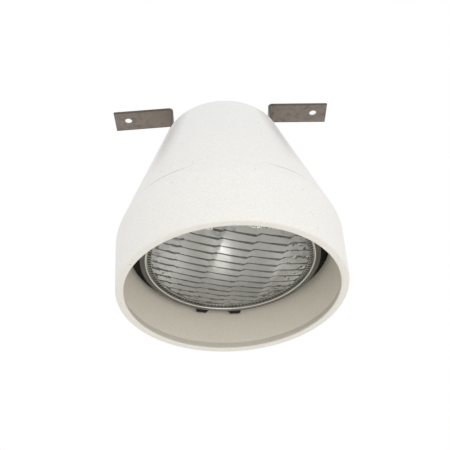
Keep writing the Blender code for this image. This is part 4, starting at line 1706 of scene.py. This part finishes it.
@dataclass
class Studio:
    """Floor, soft lights, pale surroundings and the camera."""

    floor_drop: float = 1.3
    floor_size: float = 8.0
    elevation: float = 0.704
    azimuth: float = math.radians(-1.33)
    distance: float = 0.6163
    lens: float = 46.35
    roll: float = 0.0625
    aim_x: float = -3.35 * MM
    aim_height: float = 90.4 * MM
    ambient: float = 0.93
    light_aim_height: float = 100 * MM
    light_place: tuple[float, float, float] = (0.30, -0.95, -0.75)
    light_size: float = 0.6
    light_power: float = 2.9

    def _floor(self) -> None:
        """Lays a plain pale floor far below the fixture."""
        shape = bmesh.new()
        bmesh.ops.create_grid(shape, x_segments=1, y_segments=1, size=self.floor_size / 2)
        bmesh.ops.translate(shape, vec=(0, 0, -self.floor_drop), verts=shape.verts)
        mesh = bpy.data.meshes.new("floor")
        shape.to_mesh(mesh)
        shape.free()
        nodes = Nodes("floor_paint")
        nodes.drive("Base Color", nodes.mix(nodes.noise(3, 2), (0.80, 0.78, 0.745),
                                            (0.83, 0.81, 0.775)))
        nodes.constant(Roughness=0.9)
        mesh.materials.append(nodes.material)
        floor = bpy.data.objects.new("floor", mesh)
        bpy.context.scene.collection.objects.link(floor)

    def _area(self, name: str, place: Vector, aim: Vector) -> None:
        """Hangs one square area light that faces a point.

        Args:
            name: the light's name.
            place: where it stands.
            aim: what it points at.
        """
        light = bpy.data.lights.new(name, "AREA")
        light.size = self.light_size
        light.energy = self.light_power
        item = bpy.data.objects.new(name, light)
        item.location = place
        item.rotation_euler = (aim - place).to_track_quat("-Z", "Y").to_euler()
        bpy.context.scene.collection.objects.link(item)

    def _world(self) -> None:
        """Surrounds the fixture with even white light."""
        world = bpy.data.worlds.new("studio")
        world.use_nodes = True
        tree = world.node_tree
        background = tree.nodes["Background"]
        seen = tree.nodes.new("ShaderNodeLightPath").outputs["Is Camera Ray"]
        strength = tree.nodes.new("ShaderNodeMapRange")
        strength.inputs["To Min"].default_value = self.ambient
        strength.inputs["To Max"].default_value = 1.0
        tree.links.new(seen, strength.inputs["Value"])
        tree.links.new(strength.outputs["Result"], background.inputs["Strength"])
        background.inputs["Color"].default_value = (1, 1, 1, 1)
        bpy.context.scene.world = world

    def _camera(self) -> None:
        """Sets the camera below and before the fixture, looking up at it."""
        yaw = Matrix.Rotation(self.azimuth, 4, "Z")
        target = yaw @ Vector((self.aim_x, 0, 0)) + Vector((0, 0, level(self.aim_height)))
        behind = yaw @ Vector((0, -math.cos(self.elevation), -math.sin(self.elevation)))
        right = yaw @ Vector((1, 0, 0))
        up = behind.cross(right)
        turn = Matrix.Rotation(-self.roll, 3, behind)
        basis = Matrix((turn @ right, turn @ up, behind)).transposed()
        data = bpy.data.cameras.new("camera")
        data.lens = self.lens
        data.sensor_width = 36
        camera = bpy.data.objects.new("camera", data)
        camera.matrix_world = Matrix.Translation(target + behind * self.distance) @ basis.to_4x4()
        bpy.context.scene.collection.objects.link(camera)
        bpy.context.scene.camera = camera

    def build(self) -> None:
        """Builds the studio."""
        self._floor()
        self._world()
        aim = Vector((0, 0, level(self.light_aim_height)))
        self._area("front", aim + Vector(self.light_place), aim)
        self._camera()
        bpy.context.scene.view_settings.view_transform = "Standard"
        LOG.info("built the studio")


def main() -> None:
    """Builds the fixture and the studio."""
    logging.basicConfig(level=logging.INFO, format="%(name)s: %(message)s")
    finishes = FinishRack()
    Studio().build()
    makers: list[Callable[[FinishRack], None]] = [
        Shade().build,
        Bracket(Side.LEFT).build,
        Bracket(Side.RIGHT).build,
        BracketFixings().build,
        CableGland().build,
        LampCarrier().build,
        PressedLens().build,
        SealedBeam().build,
        RetainingRing().build,
        Wiring().build,
    ]
    for make in makers:
        make(finishes)


if __name__ == "__main__":
    main()
